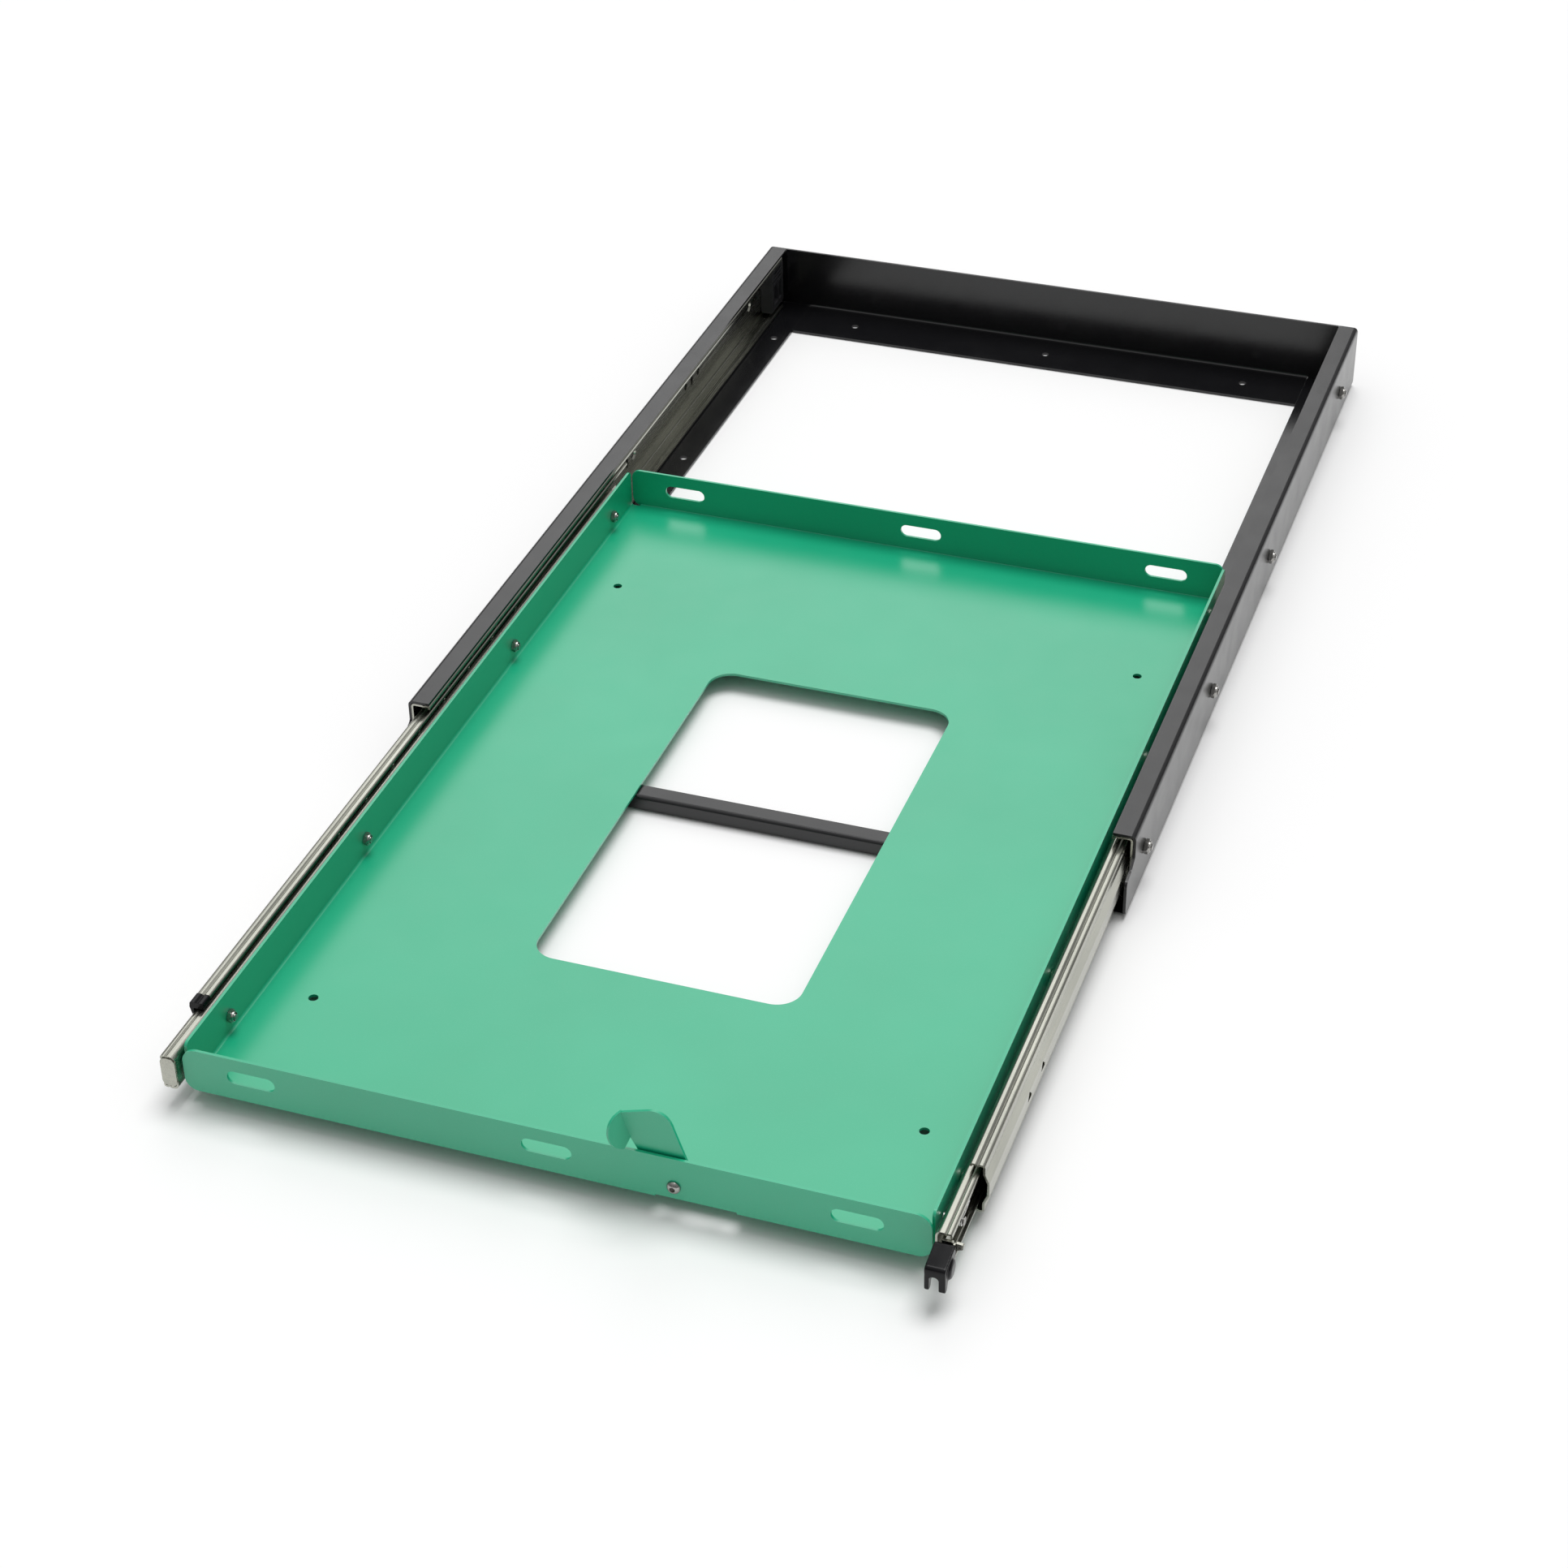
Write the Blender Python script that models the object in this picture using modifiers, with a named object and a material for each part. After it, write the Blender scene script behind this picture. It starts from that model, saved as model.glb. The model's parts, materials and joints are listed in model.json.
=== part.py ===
"""Slide-out tray: a folded sheet tray on two three-section ball slides inside a low folded frame.

World axes: X to the right, -Y to the front, +Z up. The frame stands on z = 0 and its rail tops
start at y = 0. The tray is held part of the way out. Lengths are millimetres, and MM makes metres.
"""

import math

import bmesh
import bpy
from mathutils import Matrix, Vector

MM = 0.001

# Frame
FRAME_WIDTH = 560.0
FRAME_LENGTH = 815.0
FRAME_HEIGHT = 57.0
FRAME_SHEET = 2.0
FRAME_BEND = 3.0
TOP_FLANGE = 17.0
BOTTOM_FLANGE = 41.0
REAR_FLANGE_FRONT = 759.0
TOE_FRONT = -22.0
TOE_TOP = 34.0
CROSS_MEMBER_FRONT = -5.0
CROSS_MEMBER_REAR = 9.5
CROSS_MEMBER_TOP = 13.0
RAIL_BASE_HOLES = (150.0, 500.0, 739.0)
REAR_BASE_HOLES = (-185.0, 0.0, 185.0)
REAR_BASE_HOLE_Y = 784.0
BASE_HOLE_RADIUS = 3.3

# Slides. A section point is (distance from the frame's web, height above the slide's middle).
GAP = 0.3
SLIDE_MIDDLE = 28.5
OUTER_SPAN = (0.0, 800.0)
INTERMEDIATE_SPAN = (-352.0, 402.0)
INNER_SPAN = (-411.0, 365.0)
OUTER_SHEET = 1.5
MEMBER_SHEET = 1.4
OUTER_HALF_PATH = ((15.0, 23.3, 0.0), (15.0, 25.45, 0.9), (1.05, 25.45, 2.0))
INTERMEDIATE_HALF_PATH = (
    (14.6, 17.0, 0.0),
    (14.6, 18.8, 1.0),
    (11.9, 18.8, 0.8),
    (10.3, 17.8, 0.8),
    (8.7, 18.7, 0.8),
    (5.8, 18.6, 1.4),
    (5.8, 11.8, 1.0),
    (2.9, 4.9, 1.5),
)
INNER_HALF_PATH = (
    (9.2, 10.2, 0.0),
    (9.2, 12.6, 1.0),
    (11.2, 12.7, 0.9),
    (12.4, 12.0, 0.9),
    (13.6, 12.8, 0.9),
    (18.7, 12.8, 3.0),
)
RAIL_SCREWS = (30.0, 241.0, 449.0, 743.0)
TRAY_SCREWS = (-346.0, -135.0, 135.0, 345.0)
OUTER_HOLES = ((728.0, 3.2), (758.0, 3.2), (608.0, 3.2), (577.0, 3.2))
OUTER_SLOTS = (592.0, 434.0)
PAD_RADIUS = 7.0
LANCES = (-226.0, -258.0)
STOP_SPAN = (776.0, 806.0)
BUMPER_LENGTH = 9.7

# Ball cages. A ball's centre is (distance from the web, height above the slide's middle).
CAGE_HALF_LENGTH = 170.0
CAGE_BALLS = 8
CAGE_SHEET = 0.8
BALL_MARGIN = 10.0
OUTER_CAGE_MIDDLE = 201.0
OUTER_CAGE_STRIP = (6.6, 13.2)
OUTER_BALL = (10.3, 21.75)
OUTER_BALL_RADIUS = 2.6
INNER_CAGE_MIDDLE = 6.5
INNER_CAGE_HALF_PATH = ((13.4, 15.35, 0.0), (7.5, 15.35, 1.5))
INNER_BALL = (12.3, 15.35)
INNER_BALL_RADIUS = 1.9

# Screws and nuts
SHANK = 2.3
CLEAR_HOLE = 2.8
NUT_HOLE = 2.6
RAIL_NUT = 10.0
TRAY_NUT = 8.6
NUT_THICKNESS = 4.2

# Tray
TRAY_HALF_WIDTH = 256.0
TRAY_FRONT = -407.0
TRAY_REAR = 393.0
TRAY_BOTTOM = 13.7
TRAY_TOP = 48.0
TRAY_SHEET = 2.0
TRAY_BEND = 3.0
FLANGE_BEND = 1.4
FLANGE_STEP = 0.4
FLANGE_CORNERS = (9.0, 11.0)
FOLD_REACH = 247.0
WALL_FRONT = -402.0
WALL_REAR = 388.5
STRAP_SLOTS = (-206.5, 1.0, 207.5)
STRAP_SLOT_SIZE = (34.5, 10.5)
STRAP_SLOT_HEIGHT = 32.5
WINDOW = (-97.0, -207.0, 97.0, 169.0)
WINDOW_CORNER = 18.0
FLOOR_HOLES = ((-217.0, -297.5), (217.0, -297.5), (-217.0, 262.0), (217.0, 262.0))
FLOOR_HOLE_RADIUS = 3.5

# Latch on the tray's front flange
LATCH_X = 87.0
LATCH_Z = 25.0
LATCH_LEAN = 18.0
LATCH_FRONT = -403.8
LATCH_SHEET = 2.0
LATCH_SLOT = (74.0, 128.5)
LATCH_EDGE = -18.3
WING_RADIUS = 12.6
WING_SWEEP = 156.0
WING_OUT = 2.5
WING_ROOT = 6.5
WING_HEIGHT = 45.4
WING_FOLD = 60.0
STRIKER_SLOT = (106.0, 4.6, 124.0, 7.8)

# Lock lever on the right slide
LOCK_PIVOT = (-388.0, 33.0)
LEVER_SHEET = (14.6, 12.6)
LEVER_FRONT = -427.0
LEVER_NECK = (1.5, -4.0)
LEVER_TAB = 2.0
GRIP_SPAN = (-413.8, -437.0)
SPRING_WIRE = 0.4
SPRING_RADIUS = 3.0
SPRING_PITCH = 1.05
SPRING_TURNS = 3
SPRING_STEPS = 10

STEEL_ZINC = ((0.60, 0.60, 0.55, 1.0), 0.38, 1.0)
BLACK_COAT = ((0.035, 0.035, 0.037, 1.0), 0.55, 0.0)
GREEN_COAT = ((0.10, 0.50, 0.33, 1.0), 0.45, 0.0)
BLACK_PLASTIC = ((0.02, 0.02, 0.02, 1.0), 0.5, 0.0)
BRIGHT_STEEL = ((0.72, 0.72, 0.72, 1.0), 0.25, 1.0)

PLANES = {
    "XZ": Matrix(((1, 0, 0, 0), (0, 0, -1, 0), (0, 1, 0, 0), (0, 0, 0, 1))),
    "YZ": Matrix(((0, 0, 1, 0), (1, 0, 0, 0), (0, 1, 0, 0), (0, 0, 0, 1))),
    "XY": Matrix.Identity(4),
}
NORMALS = {"XZ": Vector((0, 1, 0)), "YZ": Vector((1, 0, 0)), "XY": Vector((0, 0, 1))}
SIDES = (("left", -1.0), ("right", 1.0))


def clear_scene():
    for thing in list(bpy.data.objects):
        bpy.data.objects.remove(thing, do_unlink=True)


def make_collection(name):
    collection = bpy.data.collections.new(name)
    bpy.context.scene.collection.children.link(collection)
    return collection


def paint(thing, look):
    colour, roughness, metallic = look
    material = bpy.data.materials.new(thing.name)
    material.use_nodes = True
    shader = material.node_tree.nodes["Principled BSDF"]
    shader.inputs["Base Color"].default_value = colour
    shader.inputs["Roughness"].default_value = roughness
    shader.inputs["Metallic"].default_value = metallic
    thing.data.materials.append(material)


def keep(thing, look):
    """Puts a finished piece in the object's own collection, with its own material."""
    OBJECT.objects.link(thing)
    paint(thing, look)
    return thing


def hide_tool(thing):
    CUTTERS.objects.link(thing)
    thing.hide_render = True
    thing.display_type = "WIRE"
    return thing


def fillet(corners, steps=3, closed=True):
    """Turns corners (a, b, radius) into points, with an arc at each corner whose radius isn't 0."""
    points = []
    count = len(corners)
    for i, (a, b, radius) in enumerate(corners):
        here = Vector((a, b))
        if radius <= 0.0 or (not closed and i in (0, count - 1)):
            points.append(here)
            continue
        before = Vector(corners[i - 1][:2]) - here
        after = Vector(corners[(i + 1) % count][:2]) - here
        half = before.angle(after) / 2
        reach = radius / math.tan(half)
        start = here + before.normalized() * reach
        end = here + after.normalized() * reach
        centre = here + (before.normalized() + after.normalized()).normalized() * (radius / math.sin(half))
        first = (start - centre).normalized()
        turn = (start - centre).angle_signed(end - centre)
        for k in range(steps + 1):
            angle = -turn * k / steps
            cos, sin = math.cos(angle), math.sin(angle)
            spoke = Vector((first.x * cos - first.y * sin, first.x * sin + first.y * cos))
            points.append(centre + spoke * radius)
    return points


def rounded_box(a0, b0, a1, b1, radius, steps=3):
    return fillet([(a0, b0, radius), (a1, b0, radius), (a1, b1, radius), (a0, b1, radius)], steps)


def circle(a, b, radius, count=12, turn=0.0):
    angles = [turn + 2 * math.pi * k / count for k in range(count)]
    return [Vector((a + radius * math.cos(t), b + radius * math.sin(t))) for t in angles]


def sheet_outline(path, thickness, steps=3):
    """The closed outline of a bent sheet whose mid line runs through the open path."""
    line = fillet(path, steps, closed=False)
    one_side, other_side = [], []
    for i, point in enumerate(line):
        along_in = (point - line[i - 1]).normalized() if i else (line[1] - point).normalized()
        along_out = (line[i + 1] - point).normalized() if i < len(line) - 1 else along_in
        across_in = Vector((-along_in.y, along_in.x))
        across_out = Vector((-along_out.y, along_out.x))
        across = (across_in + across_out).normalized()
        reach = thickness / 2 / max(0.5, across.dot(across_in))
        one_side.append(point + across * reach)
        other_side.append(point - across * reach)
    return one_side + other_side[::-1]


def mirrored_path(half):
    return list(half) + [(a, -b, r) for a, b, r in reversed(half)]


def extruded(name, plane, loops, low, high):
    """A flat outline with holes in one plane, made solid between two values on the plane's normal."""
    curve = bpy.data.curves.new(name, "CURVE")
    curve.dimensions = "2D"
    curve.fill_mode = "BOTH"
    curve.extrude = (high - low) / 2 * MM
    for loop in loops:
        spline = curve.splines.new("POLY")
        spline.points.add(len(loop) - 1)
        for target, point in zip(spline.points, loop):
            target.co = (point[0] * MM, point[1] * MM, 0.0, 1.0)
        spline.use_cyclic_u = True
    flat = bpy.data.objects.new(name + "_outline", curve)
    bpy.context.scene.collection.objects.link(flat)
    flat.matrix_world = Matrix.Translation(NORMALS[plane] * ((low + high) / 2 * MM)) @ PLANES[plane]
    bpy.context.view_layer.update()
    graph = bpy.context.evaluated_depsgraph_get()
    mesh = bpy.data.meshes.new_from_object(flat.evaluated_get(graph))
    mesh.name = name
    solid = bpy.data.objects.new(name, mesh)
    solid.matrix_world = flat.matrix_world
    bpy.data.objects.remove(flat, do_unlink=True)
    tidy(mesh)
    return solid


def tidy(mesh):
    work = bmesh.new()
    work.from_mesh(mesh)
    bmesh.ops.remove_doubles(work, verts=work.verts, dist=1e-6)
    bmesh.ops.recalc_face_normals(work, faces=work.faces)
    work.to_mesh(mesh)
    work.free()


def turned(name, profile, origin, direction, steps=12):
    """A solid of revolution. The profile is (radius, height) from the top of its axis to the bottom."""
    mesh = bpy.data.meshes.new(name)
    points = [(radius * MM, 0.0, height * MM) for radius, height in profile]
    mesh.from_pydata(points, [(i, i + 1) for i in range(len(points) - 1)], [])
    solid = bpy.data.objects.new(name, mesh)
    turn = Vector((0, 0, 1)).rotation_difference(Vector(direction)).to_matrix().to_4x4()
    solid.matrix_world = Matrix.Translation(Vector(origin) * MM) @ turn
    screw = solid.modifiers.new("turn", "SCREW")
    screw.axis = "Z"
    screw.angle = 2 * math.pi
    screw.steps = steps
    screw.render_steps = steps
    screw.use_merge_vertices = True
    screw.merge_threshold = 1e-5
    screw.use_smooth_shade = False
    return solid


def merged_tool(name, shapes):
    """Gathers separate shapes into one hidden mesh, ready to be a Boolean's operand."""
    work = bmesh.new()
    for shape in shapes:
        mesh = shape.data.copy()
        mesh.transform(shape.matrix_world)
        work.from_mesh(mesh)
        bpy.data.meshes.remove(mesh)
        bpy.data.objects.remove(shape, do_unlink=True)
    mesh = bpy.data.meshes.new(name)
    work.to_mesh(mesh)
    work.free()
    return hide_tool(bpy.data.objects.new(name, mesh))


def boolean(target, shapes, operation):
    label = operation.lower() + str(len(target.modifiers))
    modifier = target.modifiers.new(label, "BOOLEAN")
    modifier.operation = operation
    modifier.solver = "EXACT"
    modifier.use_self = operation == "UNION"
    modifier.object = merged_tool(f"{target.name}_{label}", shapes)


def drill(name, plane, spots, radius, low, high, count=12):
    return [extruded(name, plane, [circle(a, b, radius, count, 0.13)], low, high) for a, b in spots]


def web_x(side, distance):
    return side * (FRAME_WIDTH / 2 - FRAME_SHEET - distance)


def slide_outline(side, points):
    """Points (distance from the web, height above the slide's middle) put in the XZ plane of one side."""
    return [Vector((web_x(side, point.x), SLIDE_MIDDLE + point.y)) for point in points]


def slide_section(side, path, thickness):
    return slide_outline(side, sheet_outline(mirrored_path(path), thickness, 2))


# ---------------------------------------------------------------- frame


def make_rail(name, side):
    edge = side * (FRAME_WIDTH / 2 - FRAME_SHEET / 2)
    top = FRAME_HEIGHT - FRAME_SHEET / 2
    path = (
        (edge - side * (TOP_FLANGE - FRAME_SHEET / 2), top, 0.0),
        (edge, top, FRAME_BEND),
        (edge, FRAME_SHEET / 2, FRAME_BEND),
        (edge - side * (BOTTOM_FLANGE - FRAME_SHEET / 2), FRAME_SHEET / 2, 0.0),
    )
    rail = extruded(name, "XZ", [sheet_outline(path, FRAME_SHEET)], TOE_FRONT, FRAME_LENGTH)
    front = fillet(
        [
            (-40.0, -20.0, 0.0),
            (-12.0, -20.0, 0.0),
            (-12.0, -0.5, 0.0),
            (TOE_FRONT, 4.0, 6.0),
            (TOE_FRONT, TOE_TOP - 3.0, 4.0),
            (-9.0, TOE_TOP, 4.0),
            (0.0, TOE_TOP + 5.0, 3.0),
            (0.0, 80.0, 0.0),
            (-40.0, 80.0, 0.0),
        ]
    )
    low, high = sorted((side * 230.0, side * 290.0))
    tools = [extruded("toe", "YZ", [front], low, high)]
    tools += drill("screw_hole", "YZ", [(y, SLIDE_MIDDLE) for y in RAIL_SCREWS], CLEAR_HOLE, low, high)
    base = [(side * 250.0, y) for y in RAIL_BASE_HOLES]
    tools += drill("base_hole", "XY", base, BASE_HOLE_RADIUS, -5.0, 10.0)
    boolean(rail, tools, "DIFFERENCE")
    return keep(rail, BLACK_COAT)


def make_rear_panel():
    """The rear wall between the rails: full height between their top flanges, lower under them."""
    under = FRAME_WIDTH / 2 - FRAME_SHEET - GAP
    between = FRAME_WIDTH / 2 - TOP_FLANGE - GAP
    low = FRAME_WIDTH / 2 - BOTTOM_FLANGE - GAP
    path = (
        (FRAME_LENGTH - FRAME_SHEET / 2, FRAME_HEIGHT, 0.0),
        (FRAME_LENGTH - FRAME_SHEET / 2, FRAME_SHEET / 2, FRAME_BEND),
        (REAR_FLANGE_FRONT, FRAME_SHEET / 2, 0.0),
    )
    panel = extruded("rear_panel", "YZ", [sheet_outline(path, FRAME_SHEET)], -low, low)
    top = FRAME_HEIGHT - FRAME_SHEET - GAP
    seat = FRAME_SHEET + GAP
    half = [(between, FRAME_HEIGHT, 0.0), (between, top, 0.0), (under, top, 2.5), (under, seat, 2.5),
            (low, seat, 0.0), (low, 5.0, 0.0)]
    ears = fillet(half + [(-x, z, radius) for x, z, radius in reversed(half)])
    boolean(panel, [extruded("ears", "XZ", [ears], FRAME_LENGTH - FRAME_SHEET, FRAME_LENGTH)], "UNION")
    spots = [(x, REAR_BASE_HOLE_Y) for x in REAR_BASE_HOLES]
    holes = drill("holes", "XY", spots, BASE_HOLE_RADIUS, -5.0, 10.0)
    boolean(panel, holes, "DIFFERENCE")
    return keep(panel, BLACK_COAT)


def make_cross_member():
    reach = FRAME_WIDTH / 2 - FRAME_SHEET - 19.5
    between = FRAME_WIDTH / 2 - BOTTOM_FLANGE - GAP
    path = (
        (CROSS_MEMBER_REAR, 1.0, 0.0),
        (CROSS_MEMBER_FRONT + 1.0, 1.0, 2.0),
        (CROSS_MEMBER_FRONT + 1.0, CROSS_MEMBER_TOP - 1.0, 2.0),
        (CROSS_MEMBER_REAR, CROSS_MEMBER_TOP - 1.0, 0.0),
    )
    member = extruded("front_cross_member", "YZ", [sheet_outline(path, FRAME_SHEET)], -reach, reach)
    lift = FRAME_SHEET + GAP
    foot = [(-20.0, -5.0), (20.0, -5.0), (20.0, lift), (-20.0, lift)]
    slot = rounded_box(*STRIKER_SLOT, 1.0, 2)
    tools = [
        extruded("foot", "YZ", [foot], between, reach + 5.0),
        extruded("foot", "YZ", [foot], -reach - 5.0, -between),
        extruded("striker", "XY", [slot], 5.0, 20.0),
    ]
    boolean(member, tools, "DIFFERENCE")
    return keep(member, BLACK_COAT)


def make_rear_stop(name, side):
    body = slide_outline(side, rounded_box(GAP + OUTER_SHEET + GAP, -22.0, 14.0, 22.0, 2.5))
    stop = extruded(name, "XZ", [body], *STOP_SPAN)
    pocket = rounded_box(STOP_SPAN[0] + 5.0, 14.0, STOP_SPAN[1] - 6.0, 43.0, 3.0)
    face = sorted((web_x(side, 17.0), web_x(side, 9.0)))
    boolean(stop, [extruded("pocket", "YZ", [pocket], *face)], "DIFFERENCE")
    return keep(stop, BLACK_PLASTIC)


# ---------------------------------------------------------------- slides


def make_outer_member(name, side):
    member = extruded(name, "XZ", [slide_section(side, OUTER_HALF_PATH, OUTER_SHEET)], *OUTER_SPAN)
    reach = sorted((web_x(side, -1.0), web_x(side, 4.0)))
    tools = []
    for y, radius in OUTER_HOLES:
        tools += drill("hole", "YZ", [(y, SLIDE_MIDDLE)], radius, *reach)
    for y in OUTER_SLOTS:
        slot = rounded_box(y - 2.6, SLIDE_MIDDLE - 5.5, y + 2.6, SLIDE_MIDDLE + 5.5, 2.5)
        tools.append(extruded("slot", "YZ", [slot], *reach))
    for y in RAIL_SCREWS:
        sink = turned("sink", [(0, 3), (6.2, 3), (6.2, 1.2), (3.2, -1.8), (3.2, -3), (0, -3)],
                      (web_x(side, 1.0), y, SLIDE_MIDDLE), (-side, 0, 0))
        tools.append(solid_copy(sink))
    boolean(member, tools, "DIFFERENCE")
    return keep(member, STEEL_ZINC)


def solid_copy(thing):
    """The plain mesh that a piece with modifiers makes, under the same matrix."""
    bpy.context.scene.collection.objects.link(thing)
    bpy.context.view_layer.update()
    graph = bpy.context.evaluated_depsgraph_get()
    mesh = bpy.data.meshes.new_from_object(thing.evaluated_get(graph))
    tidy(mesh)
    copy = bpy.data.objects.new(thing.name, mesh)
    copy.matrix_world = thing.matrix_world
    bpy.data.objects.remove(thing, do_unlink=True)
    return copy


def make_intermediate(name, side):
    section = slide_section(side, INTERMEDIATE_HALF_PATH, MEMBER_SHEET)
    member = extruded(name, "XZ", [section], *INTERMEDIATE_SPAN)
    reach = sorted((web_x(side, -1.0), web_x(side, 5.0)))
    tools = []
    for y in LANCES:
        lance = [(y - 5.0, 27.0), (y + 5.0, 27.0), (y - 2.0, 34.0)]
        tools.append(extruded("lance", "YZ", [lance], *reach))
    boolean(member, tools, "DIFFERENCE")
    return keep(member, STEEL_ZINC)


def make_front_bumper():
    side = -1.0
    front = INTERMEDIATE_SPAN[0]
    profile = fillet(
        [(14.9, 8.0, 1.0), (15.3, 19.6, 1.5), (5.2, 19.6, 1.8), (4.6, 15.0, 2.0), (6.5, 8.0, 2.0)], 3
    )
    outline = slide_outline(side, profile)
    bumper = extruded("left_front_bumper", "XZ", [outline], front - GAP - BUMPER_LENGTH, front - GAP)
    hollow = slide_outline(side, rounded_box(7.5, -20.0, 22.0, 14.6, 1.0))
    boolean(bumper, [extruded("relief", "XZ", [hollow], front - 20.0, front + 5.0)], "DIFFERENCE")
    return keep(bumper, BLACK_PLASTIC)


def make_inner_member(name, side):
    section = slide_section(side, INNER_HALF_PATH, MEMBER_SHEET)
    member = extruded(name, "XZ", [section], *INNER_SPAN)
    extras = []
    for y in TRAY_SCREWS:
        pad = turned("pad", [(0, 2.3), (PAD_RADIUS - 1.0, 2.3), (PAD_RADIUS, -0.6), (0, -0.6)],
                     (web_x(side, 19.4), y, SLIDE_MIDDLE), (-side, 0, 0))
        extras.append(solid_copy(pad))
    if side < 0:
        front = INNER_SPAN[0]
        tab = slide_outline(side, rounded_box(8.4, -10.5, 19.2, 12.0, 4.0))
        extras.append(extruded("tab", "XZ", [tab], front - 1.0, front + 0.6))
    boolean(member, extras, "UNION")
    reach = sorted((web_x(side, 16.0), web_x(side, 23.0)))
    tools = drill("hole", "YZ", [(y, SLIDE_MIDDLE) for y in TRAY_SCREWS], CLEAR_HOLE, *reach)
    if side > 0:
        tools += drill("pivot", "YZ", [LOCK_PIVOT], 2.3, *reach)
    boolean(member, tools, "DIFFERENCE")
    return keep(member, STEEL_ZINC)


def ball_row(side, middle, spot, radius, up):
    """The balls of one race, evenly spaced along it."""
    low = middle - CAGE_HALF_LENGTH + BALL_MARGIN
    pitch = 2 * (CAGE_HALF_LENGTH - BALL_MARGIN) / (CAGE_BALLS - 1)
    balls = []
    for k in range(CAGE_BALLS):
        work = bmesh.new()
        bmesh.ops.create_uvsphere(work, u_segments=8, v_segments=6, radius=radius * MM)
        mesh = bpy.data.meshes.new("ball")
        work.to_mesh(mesh)
        work.free()
        ball = bpy.data.objects.new("ball", mesh)
        centre = Vector((web_x(side, spot[0]), low + k * pitch, SLIDE_MIDDLE + up * spot[1]))
        ball.matrix_world = Matrix.Translation(centre * MM)
        balls.append(ball)
    return balls


def make_outer_cage(name, side, up):
    """A flat strip that keeps the balls of one outer race apart."""
    low, high = OUTER_CAGE_MIDDLE - CAGE_HALF_LENGTH, OUTER_CAGE_MIDDLE + CAGE_HALF_LENGTH
    a, b = sorted(web_x(side, distance) for distance in OUTER_CAGE_STRIP)
    level = SLIDE_MIDDLE + up * OUTER_BALL[1]
    strip = extruded(name, "XY", [rounded_box(a, low, b, high, 1.0, 2)],
                     level - CAGE_SHEET / 2, level + CAGE_SHEET / 2)
    boolean(strip, ball_row(side, OUTER_CAGE_MIDDLE, OUTER_BALL, OUTER_BALL_RADIUS, up), "UNION")
    return keep(strip, BRIGHT_STEEL)


def make_inner_cage(name, side):
    """A channel round the inner member that keeps the balls of both inner races apart."""
    low, high = INNER_CAGE_MIDDLE - CAGE_HALF_LENGTH, INNER_CAGE_MIDDLE + CAGE_HALF_LENGTH
    channel = extruded(name, "XZ", [slide_section(side, INNER_CAGE_HALF_PATH, CAGE_SHEET)], low, high)
    for up in (1.0, -1.0):
        boolean(channel, ball_row(side, INNER_CAGE_MIDDLE, INNER_BALL, INNER_BALL_RADIUS, up), "UNION")
    return keep(channel, BRIGHT_STEEL)


# ---------------------------------------------------------------- fasteners


def make_nut(name, across, y, face, outward):
    """A hexagon nut standing on a web's face and pointing outward (+1 or -1) along X."""
    hexagon = circle(y, SLIDE_MIDDLE, across / math.sqrt(3), 6, math.pi / 6)
    hole = circle(y, SLIDE_MIDDLE, NUT_HOLE, 10)
    start = face + outward * GAP
    low, high = sorted((start, start + outward * NUT_THICKNESS))
    return keep(extruded(name, "YZ", [hexagon, hole], low, high), STEEL_ZINC)


def make_rail_screw(name, side, y):
    """A countersunk screw from inside the outer member, out through the rail's web."""
    profile = [(0, -0.1), (4.4, -0.1), (4.4, -0.4), (SHANK, -1.6), (SHANK, -9.4), (0, -9.4)]
    screw = turned(name, profile, (web_x(side, 1.8), y, SLIDE_MIDDLE), (-side, 0, 0))
    return keep(screw, STEEL_ZINC)


def make_tray_screw(name, side, y):
    """A low head inside the inner member, its shank through the pad and the tray's wall."""
    profile = [(0, 11.4), (SHANK, 11.4), (SHANK, -GAP), (4.6, -GAP), (4.2, -2.4), (2.6, -3.0), (0, -3.0)]
    screw = turned(name, profile, (web_x(side, 18.0), y, SLIDE_MIDDLE), (-side, 0, 0))
    return keep(screw, STEEL_ZINC)


# ---------------------------------------------------------------- tray


def flange_piece(y0, y1, half):
    low, high = TRAY_BOTTOM + FLANGE_STEP, TRAY_TOP
    foot, shoulder = FLANGE_CORNERS
    outline = fillet([(-half, low, foot), (half, low, foot), (half, high, shoulder), (-half, high, shoulder)], 5)
    return extruded("flange", "XZ", [outline], y0, y1)


def fold_piece(outer, inward):
    """The fold that joins a front or rear flange to the floor."""
    middle = TRAY_SHEET / 2
    face = outer + inward * middle
    path = (
        (face, 30.0, 0.0),
        (face, TRAY_BOTTOM + middle, FLANGE_BEND),
        (outer + inward * 15.0, TRAY_BOTTOM + middle, 0.0),
    )
    return extruded("fold", "YZ", [sheet_outline(path, TRAY_SHEET)], -FOLD_REACH, FOLD_REACH)


def strap_slots():
    length, height = STRAP_SLOT_SIZE
    z0, z1 = STRAP_SLOT_HEIGHT - height / 2, STRAP_SLOT_HEIGHT + height / 2
    tools = []
    for x in STRAP_SLOTS:
        slot = rounded_box(x - length / 2, z0, x + length / 2, z1, height / 2 - 0.1, 4)
        for y in (TRAY_FRONT, TRAY_REAR):
            tools.append(extruded("strap_slot", "XZ", [slot], y - 6.0, y + 6.0))
    return tools


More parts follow.
